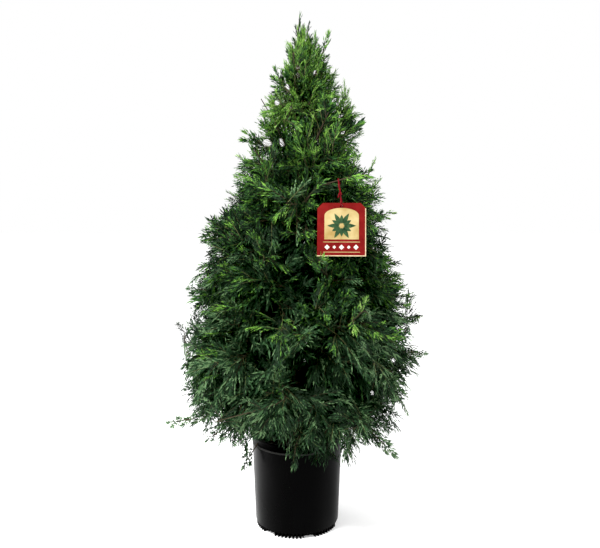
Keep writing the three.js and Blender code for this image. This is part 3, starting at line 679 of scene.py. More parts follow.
def new_material(name, color, roughness, specular):
    """A plain surface."""
    material = bpy.data.materials.new(name)
    material.use_nodes = True
    shader = material.node_tree.nodes["Principled BSDF"]
    shader.inputs["Base Color"].default_value = (*color, 1)
    shader.inputs["Roughness"].default_value = roughness
    shader.inputs["Specular IOR Level"].default_value = specular
    return material


def node_after(material, kind, values, socket, source):
    """A new node with constant inputs, fed through one socket."""
    node = material.node_tree.nodes.new(kind)
    for name, value in values.items():
        node.inputs[name].default_value = value
    material.node_tree.links.new(source, node.inputs[socket])
    return node


def noise_of(material, scale, detail, stretch=(1, 1, 1)):
    """Noise over the object's own coordinates, stretched by a mapping."""
    place = material.node_tree.nodes.new("ShaderNodeTexCoord").outputs["Object"]
    mapping = node_after(material, "ShaderNodeMapping", {"Scale": stretch}, "Vector", place)
    values = {"Scale": scale, "Detail": detail}
    noise = node_after(material, "ShaderNodeTexNoise", values, "Vector", mapping.outputs["Vector"])
    return noise.outputs["Fac"]


def feed(material, socket, output):
    """Feeds one of the surface's inputs."""
    material.node_tree.links.new(output, material.node_tree.nodes["Principled BSDF"].inputs[socket])


def grained(name, noise, stops, roughness, specular, bump=None, fine=None):
    """A surface whose colour follows a noise through (place, colour) stops. Its roughness is one value or
    a range, and its relief follows the same noise or a finer one."""
    material = new_material(name, stops[-1][1], np.max(roughness), specular)
    grain = noise_of(material, *noise)
    ramp = node_after(material, "ShaderNodeValToRGB", {}, "Fac", grain)
    while len(ramp.color_ramp.elements) < len(stops):
        ramp.color_ramp.elements.new(0.5)
    for element, (place, color) in zip(ramp.color_ramp.elements, stops):
        element.position = place
        element.color = (*color, 1)
    feed(material, "Base Color", ramp.outputs["Color"])
    if np.ndim(roughness):
        ends = ("From Min", "From Max", "To Min", "To Max")
        values = dict(zip(ends, (*NOISE_RANGE, *roughness)))
        ranged = node_after(material, "ShaderNodeMapRange", values, "Value", grain)
        feed(material, "Roughness", ranged.outputs["Result"])
    if bump:
        relief = noise_of(material, *fine) if fine else grain
        values = {"Strength": bump[0], "Distance": bump[1]}
        raised = node_after(material, "ShaderNodeBump", values, "Height", relief)
        feed(material, "Normal", raised.outputs["Normal"])
    return material


def pot_material():
    """Moulded black plastic with a soft sheen and fine scuffs."""
    stops = ((0.3, (0.0001, 0.0001, 0.0001)), (0.75, (0.0005, 0.0005, 0.0006)))
    return grained("pot_plastic", (14, 3, (1, 1, 0.35)), stops, (0.24, 0.36), 0.030, (0.12, 0.0004), (420, 2))


def soil_material():
    """Dark damp bark mix."""
    stops = ((0.30, (0.012, 0.008, 0.006)), (0.52, (0.045, 0.026, 0.016)), (0.74, (0.13, 0.08, 0.05)))
    return grained("bark_mix", (160, 6), stops, 0.9, 0.2, (0.7, 0.002))


def chip_material():
    """Paler chips of bark on the mix."""
    stops = ((0.35, (0.045, 0.024, 0.015)), (0.7, (0.16, 0.09, 0.055)))
    return grained("bark_chip", (220, 4, (1, 1, 3)), stops, 0.85, 0.25, (0.5, 0.001))


def bark_material():
    """Thin fibrous brown bark that runs along the limb."""
    stops = ((0.28, (0.028, 0.019, 0.013)), (0.5, (0.085, 0.057, 0.038)), (0.72, (0.18, 0.13, 0.090)))
    return grained("bark", (60, 8, (4, 4, 0.5)), stops, (0.65, 0.95), 0.25, (0.6, 0.0015))


def tie_material():
    """Twisted red cord."""
    stops = ((0.3, (0.09, 0.002, 0.005)), (0.7, (0.22, 0.004, 0.012)))
    return grained("tie_cord", (900, 2, (1, 1, 0.4)), stops, 0.6, 0.06, (0.5, 0.0006))


def print_material(name, dark, light, scale):
    """One printed ink on the card: slightly mottled, with the sheen of coated board."""
    return grained(name, (scale, 3), ((0.3, dark), (0.7, light)), (0.26, 0.4), 0.08)


# Trunk and limbs

TRUNK_FOOT = np.array([0.0, 0.0, SOIL_MIDDLE + SEAT])
TRUNK_LENGTH = TRUNK_TOP - TRUNK_FOOT[2]
TRUNK_CURVE = np.stack([
    TRUNK_FOOT,
    TRUNK_FOOT + UP * TRUNK_LENGTH / 3,
    TRUNK_FOOT + UP * 2 * TRUNK_LENGTH / 3 + TRUNK_SWAY,
    TRUNK_FOOT + UP * TRUNK_LENGTH + TRUNK_LEAN,
])


def trunk_share(height):
    """How far up the trunk a height is."""
    return float(np.clip((height - TRUNK_FOOT[2]) / TRUNK_LENGTH, 0, 1))


def trunk_at(height):
    """The trunk's middle at a height."""
    return bezier(TRUNK_CURVE, np.array([trunk_share(height)]))[0]


def trunk_radius(share, turn):
    """Radius of the trunk, which flares in lobes at its foot."""
    lobes = 1 + TRUNK_LOBE_DEPTH * np.cos(TRUNK_LOBES * turn)
    flare = TRUNK_FLARE * np.exp(-share * TRUNK_LENGTH / TRUNK_FLARE_HEIGHT)
    return mix(TRUNK_RADIUS, TRUNK_TIP_RADIUS, share) + flare * lobes


def limb_curve(number):
    """Control points of one limb, from the trunk to its tip. The first is the leader."""
    if number == 0:
        start = TRUNK_CURVE[3] + unit(TRUNK_CURVE[3] - TRUNK_CURVE[2]) * SEAT
        end = np.array([start[0] + TRUNK_TIP_RADIUS, start[1], TREE_TOP - LEADER_TIP_DROP])
        return np.stack([start, (start + end) / 2, end])
    share = (number + 0.5) / LIMB_COUNT
    height = TREE_TOP - (TREE_TOP - LOWEST_SEED) * share ** SEED_SPREAD
    turn = FIRST_TURN + number * GOLDEN_ANGLE
    slope = math.tan(mix(RISE_TOP, RISE_BOTTOM, share))
    room = float(crown_radius(height))
    out = np.array([math.cos(turn), math.sin(turn), 0.0])
    start = trunk_at(height - slope * SEED_SHARE * room)
    end_height = height + slope * TIP_LIFT * room
    reach = LIMB_REACH * min(room, float(crown_radius(end_height)))
    end = np.array([CROWN_SHIFT, 0.0, end_height]) + out * reach
    return np.stack([start, (start + end) / 2 + UP * LIMB_BOW * room, end])


LIMBS = np.stack([limb_curve(number) for number in range(LIMB_COUNT)])
LIMB_SEEDS = bezier(LIMBS, np.array([SEED_SHARE]))[:, 0]
LIMB_RADII = [TRUNK_TIP_RADIUS]
LIMB_RADII += [LIMB_RADIUS_SHARE * float(trunk_radius(trunk_share(limb[0, 2]), 0.0)) for limb in LIMBS[1:]]
MASS_NODES = ["foliage_leader"] + [f"foliage_{number:02d}" for number in range(1, LIMB_COUNT)]
BOUGH_NODES = [f"bough_{number:02d}" for number in range(1, LIMB_COUNT - FIRST_BOUGH + 1)]


def owner_of(points):
    """The limb whose mass each point belongs to: the one with the nearest seed."""
    return np.argmin(np.linalg.norm(points[:, None, :] - LIMB_SEEDS[None], axis=-1), axis=1)


def bark_relief(turns, along, seed):
    """Ridges and plates that run along a limb, as shares of its radius."""
    ridges = ripple(BARK_RIDGES[0] * turns, BARK_RIDGES[1] * along, seed, 3)
    plates = ripple(BARK_PLATES[0] * turns, BARK_PLATES[1] * along, seed + 1, 2)
    return 1 + BARK_RELIEF * (ridges + PLATE_SHARE * plates)


def add_trunk(shape):
    """The trunk with its root flare and fibrous bark."""
    shares = np.linspace(0, 1, TRUNK_STEPS) ** TRUNK_CROWDING
    turns = even_turns(TRUNK_SIDES)
    radius = trunk_radius(shares[:, None], turns[None, :])
    radius = radius * bark_relief(turns[None, :], shares[:, None] * TRUNK_LENGTH, SEED)
    corners = bezier(TRUNK_CURVE, shares)[:, None, :] + radius[..., None] * level_ways(turns)[None]
    shape.add(corners, grid_faces(TRUNK_STEPS, TRUNK_SIDES))
    shape.add(corners[0], np.arange(TRUNK_SIDES)[::-1][None])
    shape.add(corners[-1], np.arange(TRUNK_SIDES)[None])


def add_boughs(shape):
    """The bare inner part of each limb, sunk a little way into the trunk."""
    shares = np.linspace(0, BOUGH_SHARE, BOUGH_STEPS)
    collar = 1 + COLLAR * np.exp(-shares / COLLAR_SHARE)
    for number in range(FIRST_BOUGH, LIMB_COUNT):
        radius = mix(LIMB_RADII[number], LIMB_TIP_RADIUS, shares) * collar
        relief = bark_relief(even_turns(BOUGH_SIDES)[None, :], shares[:, None] * BOUGH_LENGTH, SEED + number)
        path = bezier(LIMBS[number], shares)
        shape.add(*tubes(path[None], radius[None, :, None] * relief[None], BOUGH_SIDES))


def make_wood():
    """Trunk and boughs with the bark's relief."""
    shape = Shape()
    add_trunk(shape)
    add_boughs(shape)
    piece = shape.make("trunk_and_boughs", [bark_material()], smooth_angle=70)
    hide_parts("trunk", *BOUGH_NODES)


# Spray templates, one long, in the plane z = 0 with their axis along +x

def fan_length(at):
    """Length of a side strand that leaves the axis at a share of the spray."""
    return FAN_LONGEST * (1 - at) ** FAN_ROUNDNESS * min(1.0, (at + FAN_FOOT) / FAN_FULL) + FAN_LEAST


def leaf_kites(leaves):
    """Slim folded kites for leaves given as rows of root, direction, length, width, roll and freshness with
    painted shade.
    """
    root = leaves[:, 0:3]
    run = unit(leaves[:, 3:6])
    length, width, roll = [leaves[:, k:k + 1] for k in (6, 7, 8)]
    across = unit(np.cross(np.broadcast_to(UP, run.shape), run))
    above = np.cross(run, across)
    flank = across * np.cos(roll) + above * np.sin(roll)
    ridge = above * np.cos(roll) - across * np.sin(roll)
    waist = root + run * LEAF_WAIST * length
    left = waist + flank * 0.5 * width - ridge * LEAF_FOLD * width
    right = waist - flank * 0.5 * width - ridge * LEAF_FOLD * width
    corners = np.stack([root, left, root + run * length, right], axis=1).reshape(-1, 3)
    first = 4 * np.arange(len(leaves))
    faces = np.stack([first, first + 2, first + 1, first, first + 3, first + 2], axis=1).reshape(-1, 3)
    return corners, faces, np.repeat(leaves[:, 9], 2)


def flat_way(angle, rise):
    """A direction in the spray's plane, with a rise out of it."""
    return np.array([math.cos(angle), math.sin(angle), rise])


def strand_leaves(draw, at, side, leaf_gap, leaf_width, forked):
    """Leaves along one side strand: alternate scale leaves, a pointed end and, low down, short forks."""
    spread = math.radians(mix(*STRAND_SPREAD, at)) + draw.normal(0, STRAND_JITTER)
    length = fan_length(at) * draw.uniform(*LENGTH_SCATTER)
    bow = draw.uniform(*STRAND_BOW)
    lift = draw.normal(0, STRAND_LIFT)
    tint = draw.normal(0, STRAND_TINT)
    count = max(2, int(round(length / leaf_gap)))
    start = np.array([at, 0.0, 0.0])
    place = start
    leaves = []
    for j in range(count):
        share = (j + 0.5) / count
        angle = side * (spread - bow * share)
        run = flat_way(angle, lift - STRAND_DROOP * share)
        run = run / np.linalg.norm(run)
        hand = 1 if j % 2 == 0 else -1
        leaf_angle = angle + hand * (LEAF_FORK + draw.normal(0, STRAND_JITTER))
        leaf_run = flat_way(leaf_angle, run[2] + draw.normal(0, STRAND_LIFT))
        leaf_length = leaf_gap * mix(*LEAF_LENGTHS, share) * draw.uniform(*LEAF_SCATTER)
        # Lighter further from the spray's foot: fresher tips, and painted shade at the foot
        freshness_and_shade = REACH_SLOPE * (max(share, at) - REACH_MIDDLE) + tint + draw.normal(0, LEAF_TINT)
        leaves.append([*place, *leaf_run, leaf_length, leaf_width, draw.normal(0, LEAF_ROLL), freshness_and_shade])
        if forked and FORK_RANGE[0] < share < FORK_RANGE[1] and length > FORKED_FROM:
            fork_angle = angle + side * (FORK_ANGLE + draw.normal(0, STRAND_JITTER))
            fork_run = flat_way(fork_angle, run[2] - FORK_DROOP)
            fork_length = FORK_LENGTH * length * (1 - FORK_SHORTENING * share)
            fork_width = FORK_WIDTH * leaf_width
            leaves.append([*place, *fork_run, fork_length, fork_width, draw.normal(0, LEAF_ROLL), freshness_and_shade])
        place = place + run * length / count
    end_fresh = REACH_SLOPE * (1 - REACH_MIDDLE) + tint
    leaves.append([*place, *run, END_LEAF * leaf_gap, leaf_width, draw.normal(0, END_ROLL), end_fresh])
    stalk = place - start
    stalk_width = STALK_WIDTH * leaf_width
    leaves.append([*start, *stalk, np.linalg.norm(stalk), stalk_width, draw.normal(0, END_ROLL), tint])
    return leaves


def spray_template(seed, side_count, leaf_gap, leaf_width, forked):
    """Corners, faces and the zone of freshness and painted shade of each face of one seeded spray."""
    draw = np.random.default_rng(seed)
    leaves = []
    for side in (-1, 1):
        for k in range(side_count):
            place = k + STRAND_STAGGER + STRAND_STAGGER * side
            at = STRAND_FROM + STRAND_RANGE * place / side_count
            leaves += strand_leaves(draw, at, side, leaf_gap, leaf_width, forked)
    for k in range(END_LEAVES):
        at = mix(*END_RANGE, k / (END_LEAVES - 1))
        turn = (1 if k % 2 else -1) * LEAF_FORK * (k < END_LEAVES - 1)
        roll = draw.normal(0, END_ROLL)
        freshness_and_shade = REACH_SLOPE * (1 - REACH_MIDDLE) + draw.normal(0, STRAND_TINT)
        length = LEAF_LENGTHS[0] * leaf_gap
        leaves.append([at, 0, 0, *flat_way(turn, END_DROOP), length, leaf_width, roll, freshness_and_shade])
    corners, faces, freshness_and_shade = leaf_kites(np.array(leaves))
    return corners, faces, np.digitize(freshness_and_shade, ZONE_STEPS)


TEMPLATES = []
FIRST_TEMPLATES = []
for seed_step, template_count, *template_values in TEMPLATE_KINDS:
    FIRST_TEMPLATES.append(len(TEMPLATES))
    TEMPLATES += [spray_template(SEED + seed_step + k, *template_values) for k in range(template_count)]


# Hollows and gaps

def hollows():
    """Middles and radii of the hollows all round."""
    heights = mix(*HOLLOW_HEIGHTS, (np.arange(OTHER_HOLLOWS) * GOLDEN_SHARE) % 1)
    turns = mix(*HOLLOW_TURNS, even_shares(OTHER_HOLLOWS)) * math.pi
    middles = revolved(HOLLOW_REACH * crown_radius(heights), heights, turns)
    middles[:, 0] += crown_middle(heights)
    sizes = np.random.default_rng(SEED).uniform(*HOLLOW_RADIUS, OTHER_HOLLOWS)
    return np.concatenate([FRONT_HOLLOWS[:, :3], middles]), np.concatenate([FRONT_HOLLOWS[:, 3], sizes])


HOLLOW_MIDDLES, HOLLOW_SIZES = hollows()


def in_hollow(points):
    """Whether each point is in a hollow, which is deeper than it is wide."""
    out = unit(HOLLOW_MIDDLES * LEVEL)
    apart = points[:, None, :] - HOLLOW_MIDDLES[None]
    deep = np.sum(apart * out[None], axis=-1)
    wide = np.linalg.norm(apart - deep[..., None] * out[None], axis=-1)
    return ((wide / HOLLOW_SIZES) ** 2 + (deep / (HOLLOW_DEPTH * HOLLOW_SIZES)) ** 2 < 1).any(axis=1)


def in_gap(points):
    """Whether each point is in a gap; the gaps run straight back from the photo's viewpoint."""
    apart = points - np.array(CAMERA_PLACE)
    square = np.sum(apart ** 2, axis=-1)
    inside = np.zeros(square.shape, bool)
    for x, z, radius in CROWN_GAPS:
        line = unit(np.array([x, 0.0, z]) - np.array(CAMERA_PLACE))
        inside |= square - (apart @ line) ** 2 < radius ** 2
    return inside


# Plumes and their sprays

def outline_heights(count):
    """Heights that share the outline's surface evenly."""
    heights = np.linspace(LOWEST_PLUME, HIGHEST_PLUME, OUTLINE_STEPS)
    radius = crown_radius(heights)
    area = np.cumsum(radius * np.hypot(1, np.gradient(radius, heights)) + TIP_CROWDING)
    return np.interp(even_shares(count), area / area[-1], heights)


def plume_tips(share, count, first_turn):
    """Tips of a shell's plumes, the way that each points and the way out."""
    heights = outline_heights(count)
    turns = first_turn + np.arange(count) * GOLDEN_ANGLE + random.normal(0, PLUME_TURN_JITTER, count)
    out = level_ways(turns)
    waves = 1 + OUTLINE_WAVES * ripple(WAVE_SCALES[0] * turns, WAVE_SCALES[1] * heights, SEED + 3, 2)
    radius = crown_radius(heights) * share * waves + random.uniform(*PLUME_DEPTHS, count) * PLUME_JITTER
    tips = out * np.maximum(radius, PLUME_INNERMOST)[:, None]
    tips[:, 0] += crown_middle(heights)
    tips[:, 2] = heights + random.normal(0, PLUME_JITTER, count)
    stray = np.interp(heights, *RISE_WANDER) * random.normal(0, 1, count)
    rise = np.radians(np.interp(heights, *RISE) + stray)
    swing = np.radians(np.interp(heights, *TURN_WANDER) * random.normal(0, 1, count))
    return tips, turned(turned(out, np.cross(UP, out), swing), UP, rise), out


def plume_feet():
    """Points on each limb where plumes may start; the leader's begin down the trunk."""
    points = bezier(LIMBS, LIMB_FEET)
    points[0, :TRUNK_FEET] = [trunk_at(height) for height in np.linspace(LEADER_FROM, TRUNK_TOP, TRUNK_FEET)]
    points[0, TRUNK_FEET:] = bezier(LIMBS[0], LEADER_FEET)
    return points


def plume_paths(tips, ways, owners, lengths):
    """Curved stems that leave their limb along it and end at their tips."""
    feet = plume_feet()
    limb_points = feet[owners]
    aim = tips - ways * lengths[:, None]
    nearest = np.argmin(np.linalg.norm(limb_points - aim[:, None, :], axis=-1), axis=1)
    foot = limb_points[np.arange(len(tips)), nearest]
    along = unit(np.gradient(feet, axis=1)[owners, nearest])
    span = np.linalg.norm(tips - foot, axis=-1, keepdims=True)
    bends = [foot + along * PLUME_BENDS[0] * span, tips - ways * PLUME_BENDS[1] * span]
    return bezier(np.stack([foot, *bends, tips], axis=1), np.linspace(0, 1, PLUME_STEPS))


def path_at(paths, share):
    """Point and tangent of each path at a share of it."""
    steps = paths.shape[1] - 1
    place = np.clip(np.broadcast_to(share, len(paths)) * steps, 0, steps - PATH_END)
    below = place.astype(int)
    rows = np.arange(len(paths))
    before = paths[rows, below]
    after = paths[rows, below + 1]
    return mix(before, after, (place - below)[:, None]), unit(after - before)


def add_sprays(sprays, root, run, face, *values):
    """Adds rows of sprays. values are length, owner, shell, whether last on its plume, whether on a long
    shoot: each is one value for all of them or one for each."""
    sprays.append((root, run, face, *[np.broadcast_to(value, len(root)) for value in values]))


def add_plume_sprays(sprays, paths, out, owners, shell, count):
    """Sprays to the left, right and end of each plume, nearly in one plane that faces out and up."""
    number = len(paths)
    facing = out * FACE_OUT + UP * FACE_UP + np.cross(UP, out) * random.normal(0, FACE_SWING, (number, 1))
    facing = facing + random.normal(0, FACE_JITTER, (number, 3))
    for k in range(count):
        last = k == count - 1
        share = 1.0
        spread = np.zeros(number)
        if not last:
            place = (k + random.uniform(0.0, PLUME_SPRAY_STRAY, number)) / (count - 1)
            share = mix(PLUME_FIRST_SPRAY, PLUME_LAST_SIDE_SPRAY, place)
            spread = (1 if k % 2 else -1) * (SPRAY_SPREAD + random.normal(0, SPREAD_JITTER, number))
        root, tangent = path_at(paths, share)
        face = square_to(facing, tangent)
        lift = random.normal(0, SPRAY_LIFT, number)
        run = unit(turned(tangent, np.cross(face, tangent), spread) + face * np.sin(lift)[:, None])
        face = square_to(face, run)
        face = turned(face, np.cross(face, run), random.normal(0, SPRAY_ROLL, number))
        length = mix(SPRAY_LONGEST, SPRAY_END_SHARE * SPRAY_LONGEST, share)
        length = length * random.uniform(*LENGTH_SCATTER, number)
        height_share = mix(*SPRAY_SHARES, (root[:, 2] - SPRAY_SHARE_FROM) / SPRAY_SHARE_RUN)
        length = length * np.clip(height_share, *SPRAY_SHARES[::-1])
        add_sprays(sprays, root, run, face, length, owners, shell, last, False)


def grow_leader(sprays):
    """Short upright sprays all round the top of the trunk and its leader."""
    number = LEADER_SPRAYS
    shares = even_shares(number)
    heights = mix(*LEADER_SPRAY_HEIGHTS, shares)
    out = level_ways(np.arange(number) * GOLDEN_ANGLE)
    root = np.stack([trunk_at(height) for height in heights])
    root[:, 2] = heights
    run = unit(out * mix(*LEADER_SPREAD, shares)[:, None] + UP + random.normal(0, LEADER_JITTER, (number, 3)))
    face = out * LEADER_FACE_OUT + np.cross(UP, out) * random.normal(0, FACE_SWING, (number, 1))
    length = mix(*LEADER_LENGTHS, shares) * random.uniform(*LEADER_SCATTER, number)
    add_sprays(sprays, root, run, square_to(face, run), length, 0, 0, True, False)


def grow_shells(sprays, twigs):
    """Plumes in each shell, except where a hollow is."""
    for shell, (share, count, spray_count) in enumerate(SHELLS):
        tips, ways, out = plume_tips(share, count, SHELL_TURN + SHELL_TWIST * shell)
        ends = tips - ways * SPRAY_LONGEST * SPRAY_BEYOND_PLUME
        open_air = ~in_hollow(ends)
        tips, ways, out, ends = [field[open_air] for field in (tips, ways, out, ends)]
        owners = owner_of(tips)
        room = np.clip(crown_radius(tips[:, 2]) / PLUME_ROOM, PLUME_SHORTENING, 1)
        paths = plume_paths(ends, ways, owners, random.uniform(*PLUME_LENGTH, len(tips)) * room)
        twigs.append((paths, PLUME_RADIUS, PLUME_TIP_RADIUS))
        add_plume_sprays(sprays, paths, out, owners, shell, spray_count)


def grow_limbs(sprays):
    """Sprays straight on the limbs."""
    limbs = bezier(LIMBS[1:], np.linspace(LIMB_SPRAYS_FROM, 1.0, PLUME_STEPS))
    out = unit((limbs[:, -1] - limbs[:, 0]) * LEVEL)
    add_plume_sprays(sprays, limbs, out, np.arange(1, LIMB_COUNT), 1, LIMB_SPRAYS)


def grow_shoots(sprays, twigs):
    """Long shoots with sturdy sprays to both sides of their outer half."""
    tips = LONG_SHOOTS[:, :3]
    size = LONG_SHOOTS[:, 4]
    number = len(tips)
    owners = owner_of(tips)
    ways = turned(unit((tips - trunk_at(WIDEST_HEIGHT)) * LEVEL), UP, np.radians(LONG_SHOOTS[:, 3]))
    paths = plume_paths(tips - ways * size[:, None], ways, owners, np.full(number, SHOOT_LENGTH))
    slim = tips[:, 2] > SLIM_SHOOT_FROM
    twigs.append((paths[slim], PLUME_RADIUS, PLUME_TIP_RADIUS))
    twigs.append((paths[~slim], SHOOT_RADIUS, SHOOT_TIP_RADIUS))
    for k in range(SHOOT_SPRAYS):
        last = k == SHOOT_SPRAYS - 1
        root, tangent = path_at(paths, mix(SHOOT_FIRST_SPRAY, 1.0, k / (SHOOT_SPRAYS - 1)))
        aside = unit(np.cross(tangent, UP + random.normal(0, SHOOT_JITTER, (number, 3))))
        face = unit(np.cross(tangent, aside) * SHOOT_FACE[0] + aside * SHOOT_FACE[1])
        spread = 0.0 if last else (SHOOT_SPREAD if k % 2 else -SHOOT_SPREAD)
        run = unit(turned(tangent, np.cross(face, tangent), spread))
        length = size * random.uniform(*SHOOT_SCATTER, number)
        add_sprays(sprays, root, run, square_to(face, run), length, owners, 0, last, True)


def grow_hanger(sprays, twigs):
    """The twig that the tie hangs from: it leaves the nearest limb and passes under the tie's loop."""
    top = np.array(TIE_TOP)
    run = np.array(HANGER_RUN)
    owner = owner_of(top[None])
    near = top - run * HANGER_BEFORE
    feet = plume_feet()[owner[0]]
    foot = feet[np.argmin(np.linalg.norm(feet - (near - run * HANGER_BEFORE), axis=-1))]
    bend = near - run * HANGER_BEND * np.linalg.norm(near - foot)
    path = bezier(np.stack([foot, bend, near]), np.linspace(0, 1, PLUME_STEPS - 2))
    path = np.concatenate([path, [top, top + run * HANGER_AFTER]])[None]
    twigs.append((path, PLUME_RADIUS, SHOOT_TIP_RADIUS))
    for share, spread in HANGER_SPRAYS:
        root, tangent = path_at(path, share)
        across = unit(np.cross(UP, tangent))
        way = unit(turned(tangent, across, spread))
        face = unit(np.cross(way, np.cross(UP - across, way)))
        add_sprays(sprays, root, way, face, HANGER_SPRAY, owner, 2, True, True)


def inside_outline(length, root, run):
    """Spray lengths, shortened so that the tips stay in the outline."""
    room = np.clip(crown_radius(root[:, 2]) / EDGE_ROOM, EDGE_LEAST, 1)
    reach = random.uniform(*EDGE_REACH, len(length)) * room
    for _ in range(EDGE_ROUNDS):
        tip = root + run * length[:, None]
        x, y, z = tip.T
        over = axis_distance(tip) - crown_radius(z) - reach
        ragged = LOWEST_RAGGED * ripple(LOWEST_RIPPLE * x, LOWEST_RIPPLE * y, SEED + 5, 2)
        low = LOWEST_TIP - LOWEST_TILT * x + LOWEST_BOW * x ** 2 + ragged
        length = np.where((over > 0) | (z > SPRAY_TOP) | (z < low), length * EDGE_SHORTENING, length)
    return length


def deal_greens(root, run, length, shell, last, shoot):
    """The colours of each spray's zones: painted shade deep inside the crown and low down, fresher growth
    outside and at the top, with painted light at the top as well.
    """
    middle = root + run * 0.5 * length[:, None]
    height = middle[:, 2]
    out = np.clip(axis_distance(middle) / np.maximum(crown_radius(height), LEAST_ROOM), 0, OUTERMOST)
    chance = random.uniform(0, 1, len(root))
    # Painted shade deeper in, in the inner shells and low down; painted light at the top; fresher growth
    # outside and at the top
    score = out ** FRESHNESS_AND_PAINTED_SHADE_POWER + np.interp(height, *FRESHNESS_AND_PAINTED_LIGHT_BY_HEIGHT) * ~shoot + FRESH_CHANCE * (chance - 0.5)
    score = score + FRESH_END * last - SHELL_PAINTED_SHADE * shell - FRESH_SHOOT * shoot
    # The lower crown takes the bluer ladder, painted shade, whose palest step is a painted sheen on lit
    # strands
    cool = height < COOL_HEIGHT + COOL_BLEND * random.normal(0, COOL_SPREAD, len(root))
    colours = []
    for offset in ZONE_OFFSETS:
        step = np.digitize(score + offset * np.where(cool, COOL_RANGE, WARM_RANGE), GREEN_STEPS)
        colours.append(np.where(cool, COOL_LADDER[step], WARM_LADDER[step]))
    return np.stack(colours)


def choose_templates(root, length, shell, shoot):
    """Each spray's template: fine outside and low down, coarser inside, sturdy on the long shoots."""
    long, short, inner, middling, sturdy = [
        FIRST_TEMPLATES[kind] + random.integers(0, TEMPLATE_KINDS[kind][1], len(length))
        for kind in (LONG, SHORT, INNER, MIDDLING, STURDY)
    ]
    outer = (shell == 0) & ((length > FINE_LENGTH) | (root[:, 2] > FINE_FROM))
    low = (shell < 2) & (root[:, 2] < FINE_BELOW)
    fine = np.where(length > LONG_FROM, long, short)
    coarse = np.where(shell > 1, inner, middling)
    return np.where(shoot, sturdy, np.where(outer | low, fine, coarse))


# Room kept clear for the card and the can

TAG_FRAME = (
    Matrix.Translation(TAG_HOLE)
    @ Matrix.Rotation(TAG_TURN, 4, "Z")
    @ Matrix.Rotation(-TAG_LEAN, 4, "X")
    @ Matrix.Rotation(math.pi / 2, 4, "X")
)


def blocks_tag(points):
    """Whether a point hides the card from the front or touches it. Its lower left corner may be covered."""
    back = np.array(TAG_FRAME.inverted())
    x, y, z = np.moveaxis(points @ back[:3, :3].T + back[:3, 3], -1, 0)
    near = (np.abs(x) < TAG_ROOM_SIDE) & (y < TAG_ROOM_TOP) & (y > TAG_ROOM_LOW) & (z > TAG_ROOM_BACK)
    corner = (x + 0.5 * TAG_WIDTH) + (y - TAG_HOLE_DROP + TAG_HEIGHT) < TAG_CORNER_CUT
    return near & ~(corner & (z > TAG_CORNER_FRONT))


def blocks_tie(points):
    """Whether a point hides the tie from the front."""
    x, y, z = np.moveaxis(points, -1, 0)
    beside = np.abs(x - TIE_ROOM_MIDDLE) < TIE_ROOM_SIDE
    return beside & (z > TIE_ROOM_LOW) & (z < TIE_ROOM_TOP) & (y < TIE_ROOM_BACK)


def in_pot(points):
    """Whether a point is in the can or its rim."""
    x, y, z = np.moveaxis(points, -1, 0)
    return (np.hypot(x, y) < POT_LIP_RADIUS + POT_ROOM) & (z < POT_HEIGHT + POT_ROOM)


def hides_rim(points):
    """Whether a point hangs where the photo shows the left front of the can's rim."""
    x, y, z = np.moveaxis(points, -1, 0)
    beside = (x > RIM_WINDOW[0]) & (x < RIM_WINDOW[1])
    return beside & (y < RIM_WINDOW_FRONT) & (z < RIM_WINDOW_LOW - RIM_WINDOW_SLOPE * y)


# Foliage and twigs

def placed_corners(template, root, run, face, length, sag):
    """Corners of a template's sprays: (number, corners, 3)."""
    across = np.cross(face, run) * np.interp(root[:, 2:], *SLIM)
    x, y, z = [template[None, :, k:k + 1] for k in range(3)]
    flat = run[:, None] * x + across[:, None] * y + face[:, None] * z
    return root[:, None] + flat * length[:, None, None] + sag[:, None] * x ** 2


def add_placed(shape, template, places, zone_greens):
    """Adds a template's sprays to a piece, less leaves in gaps or over card and rim. Gives their spines."""
    corners, faces, zones = template
    placed = placed_corners(corners, *places)
    spines = placed_corners(SPINE, *places)
    deep = np.abs(placed[..., 1]) > DEEPEST
    bad = (blocks_tie(placed) | in_pot(placed) | deep).any(axis=1) | blocks_tag(spines).any(axis=1)
    placed = placed[~bad]
    if len(placed):
        cut = in_gap(placed) | hides_rim(placed) | blocks_tag(placed)
        whole = ~cut[:, faces].any(axis=-1).ravel()
        offsets = np.arange(len(placed)) * len(corners)
        placed_faces = (faces[None] + offsets[:, None, None]).reshape(-1, 3)
        slots = zone_greens[zones][:, ~bad].T.ravel()
        shape.add(placed, placed_faces[whole], slots[whole])
    return spines[~bad]


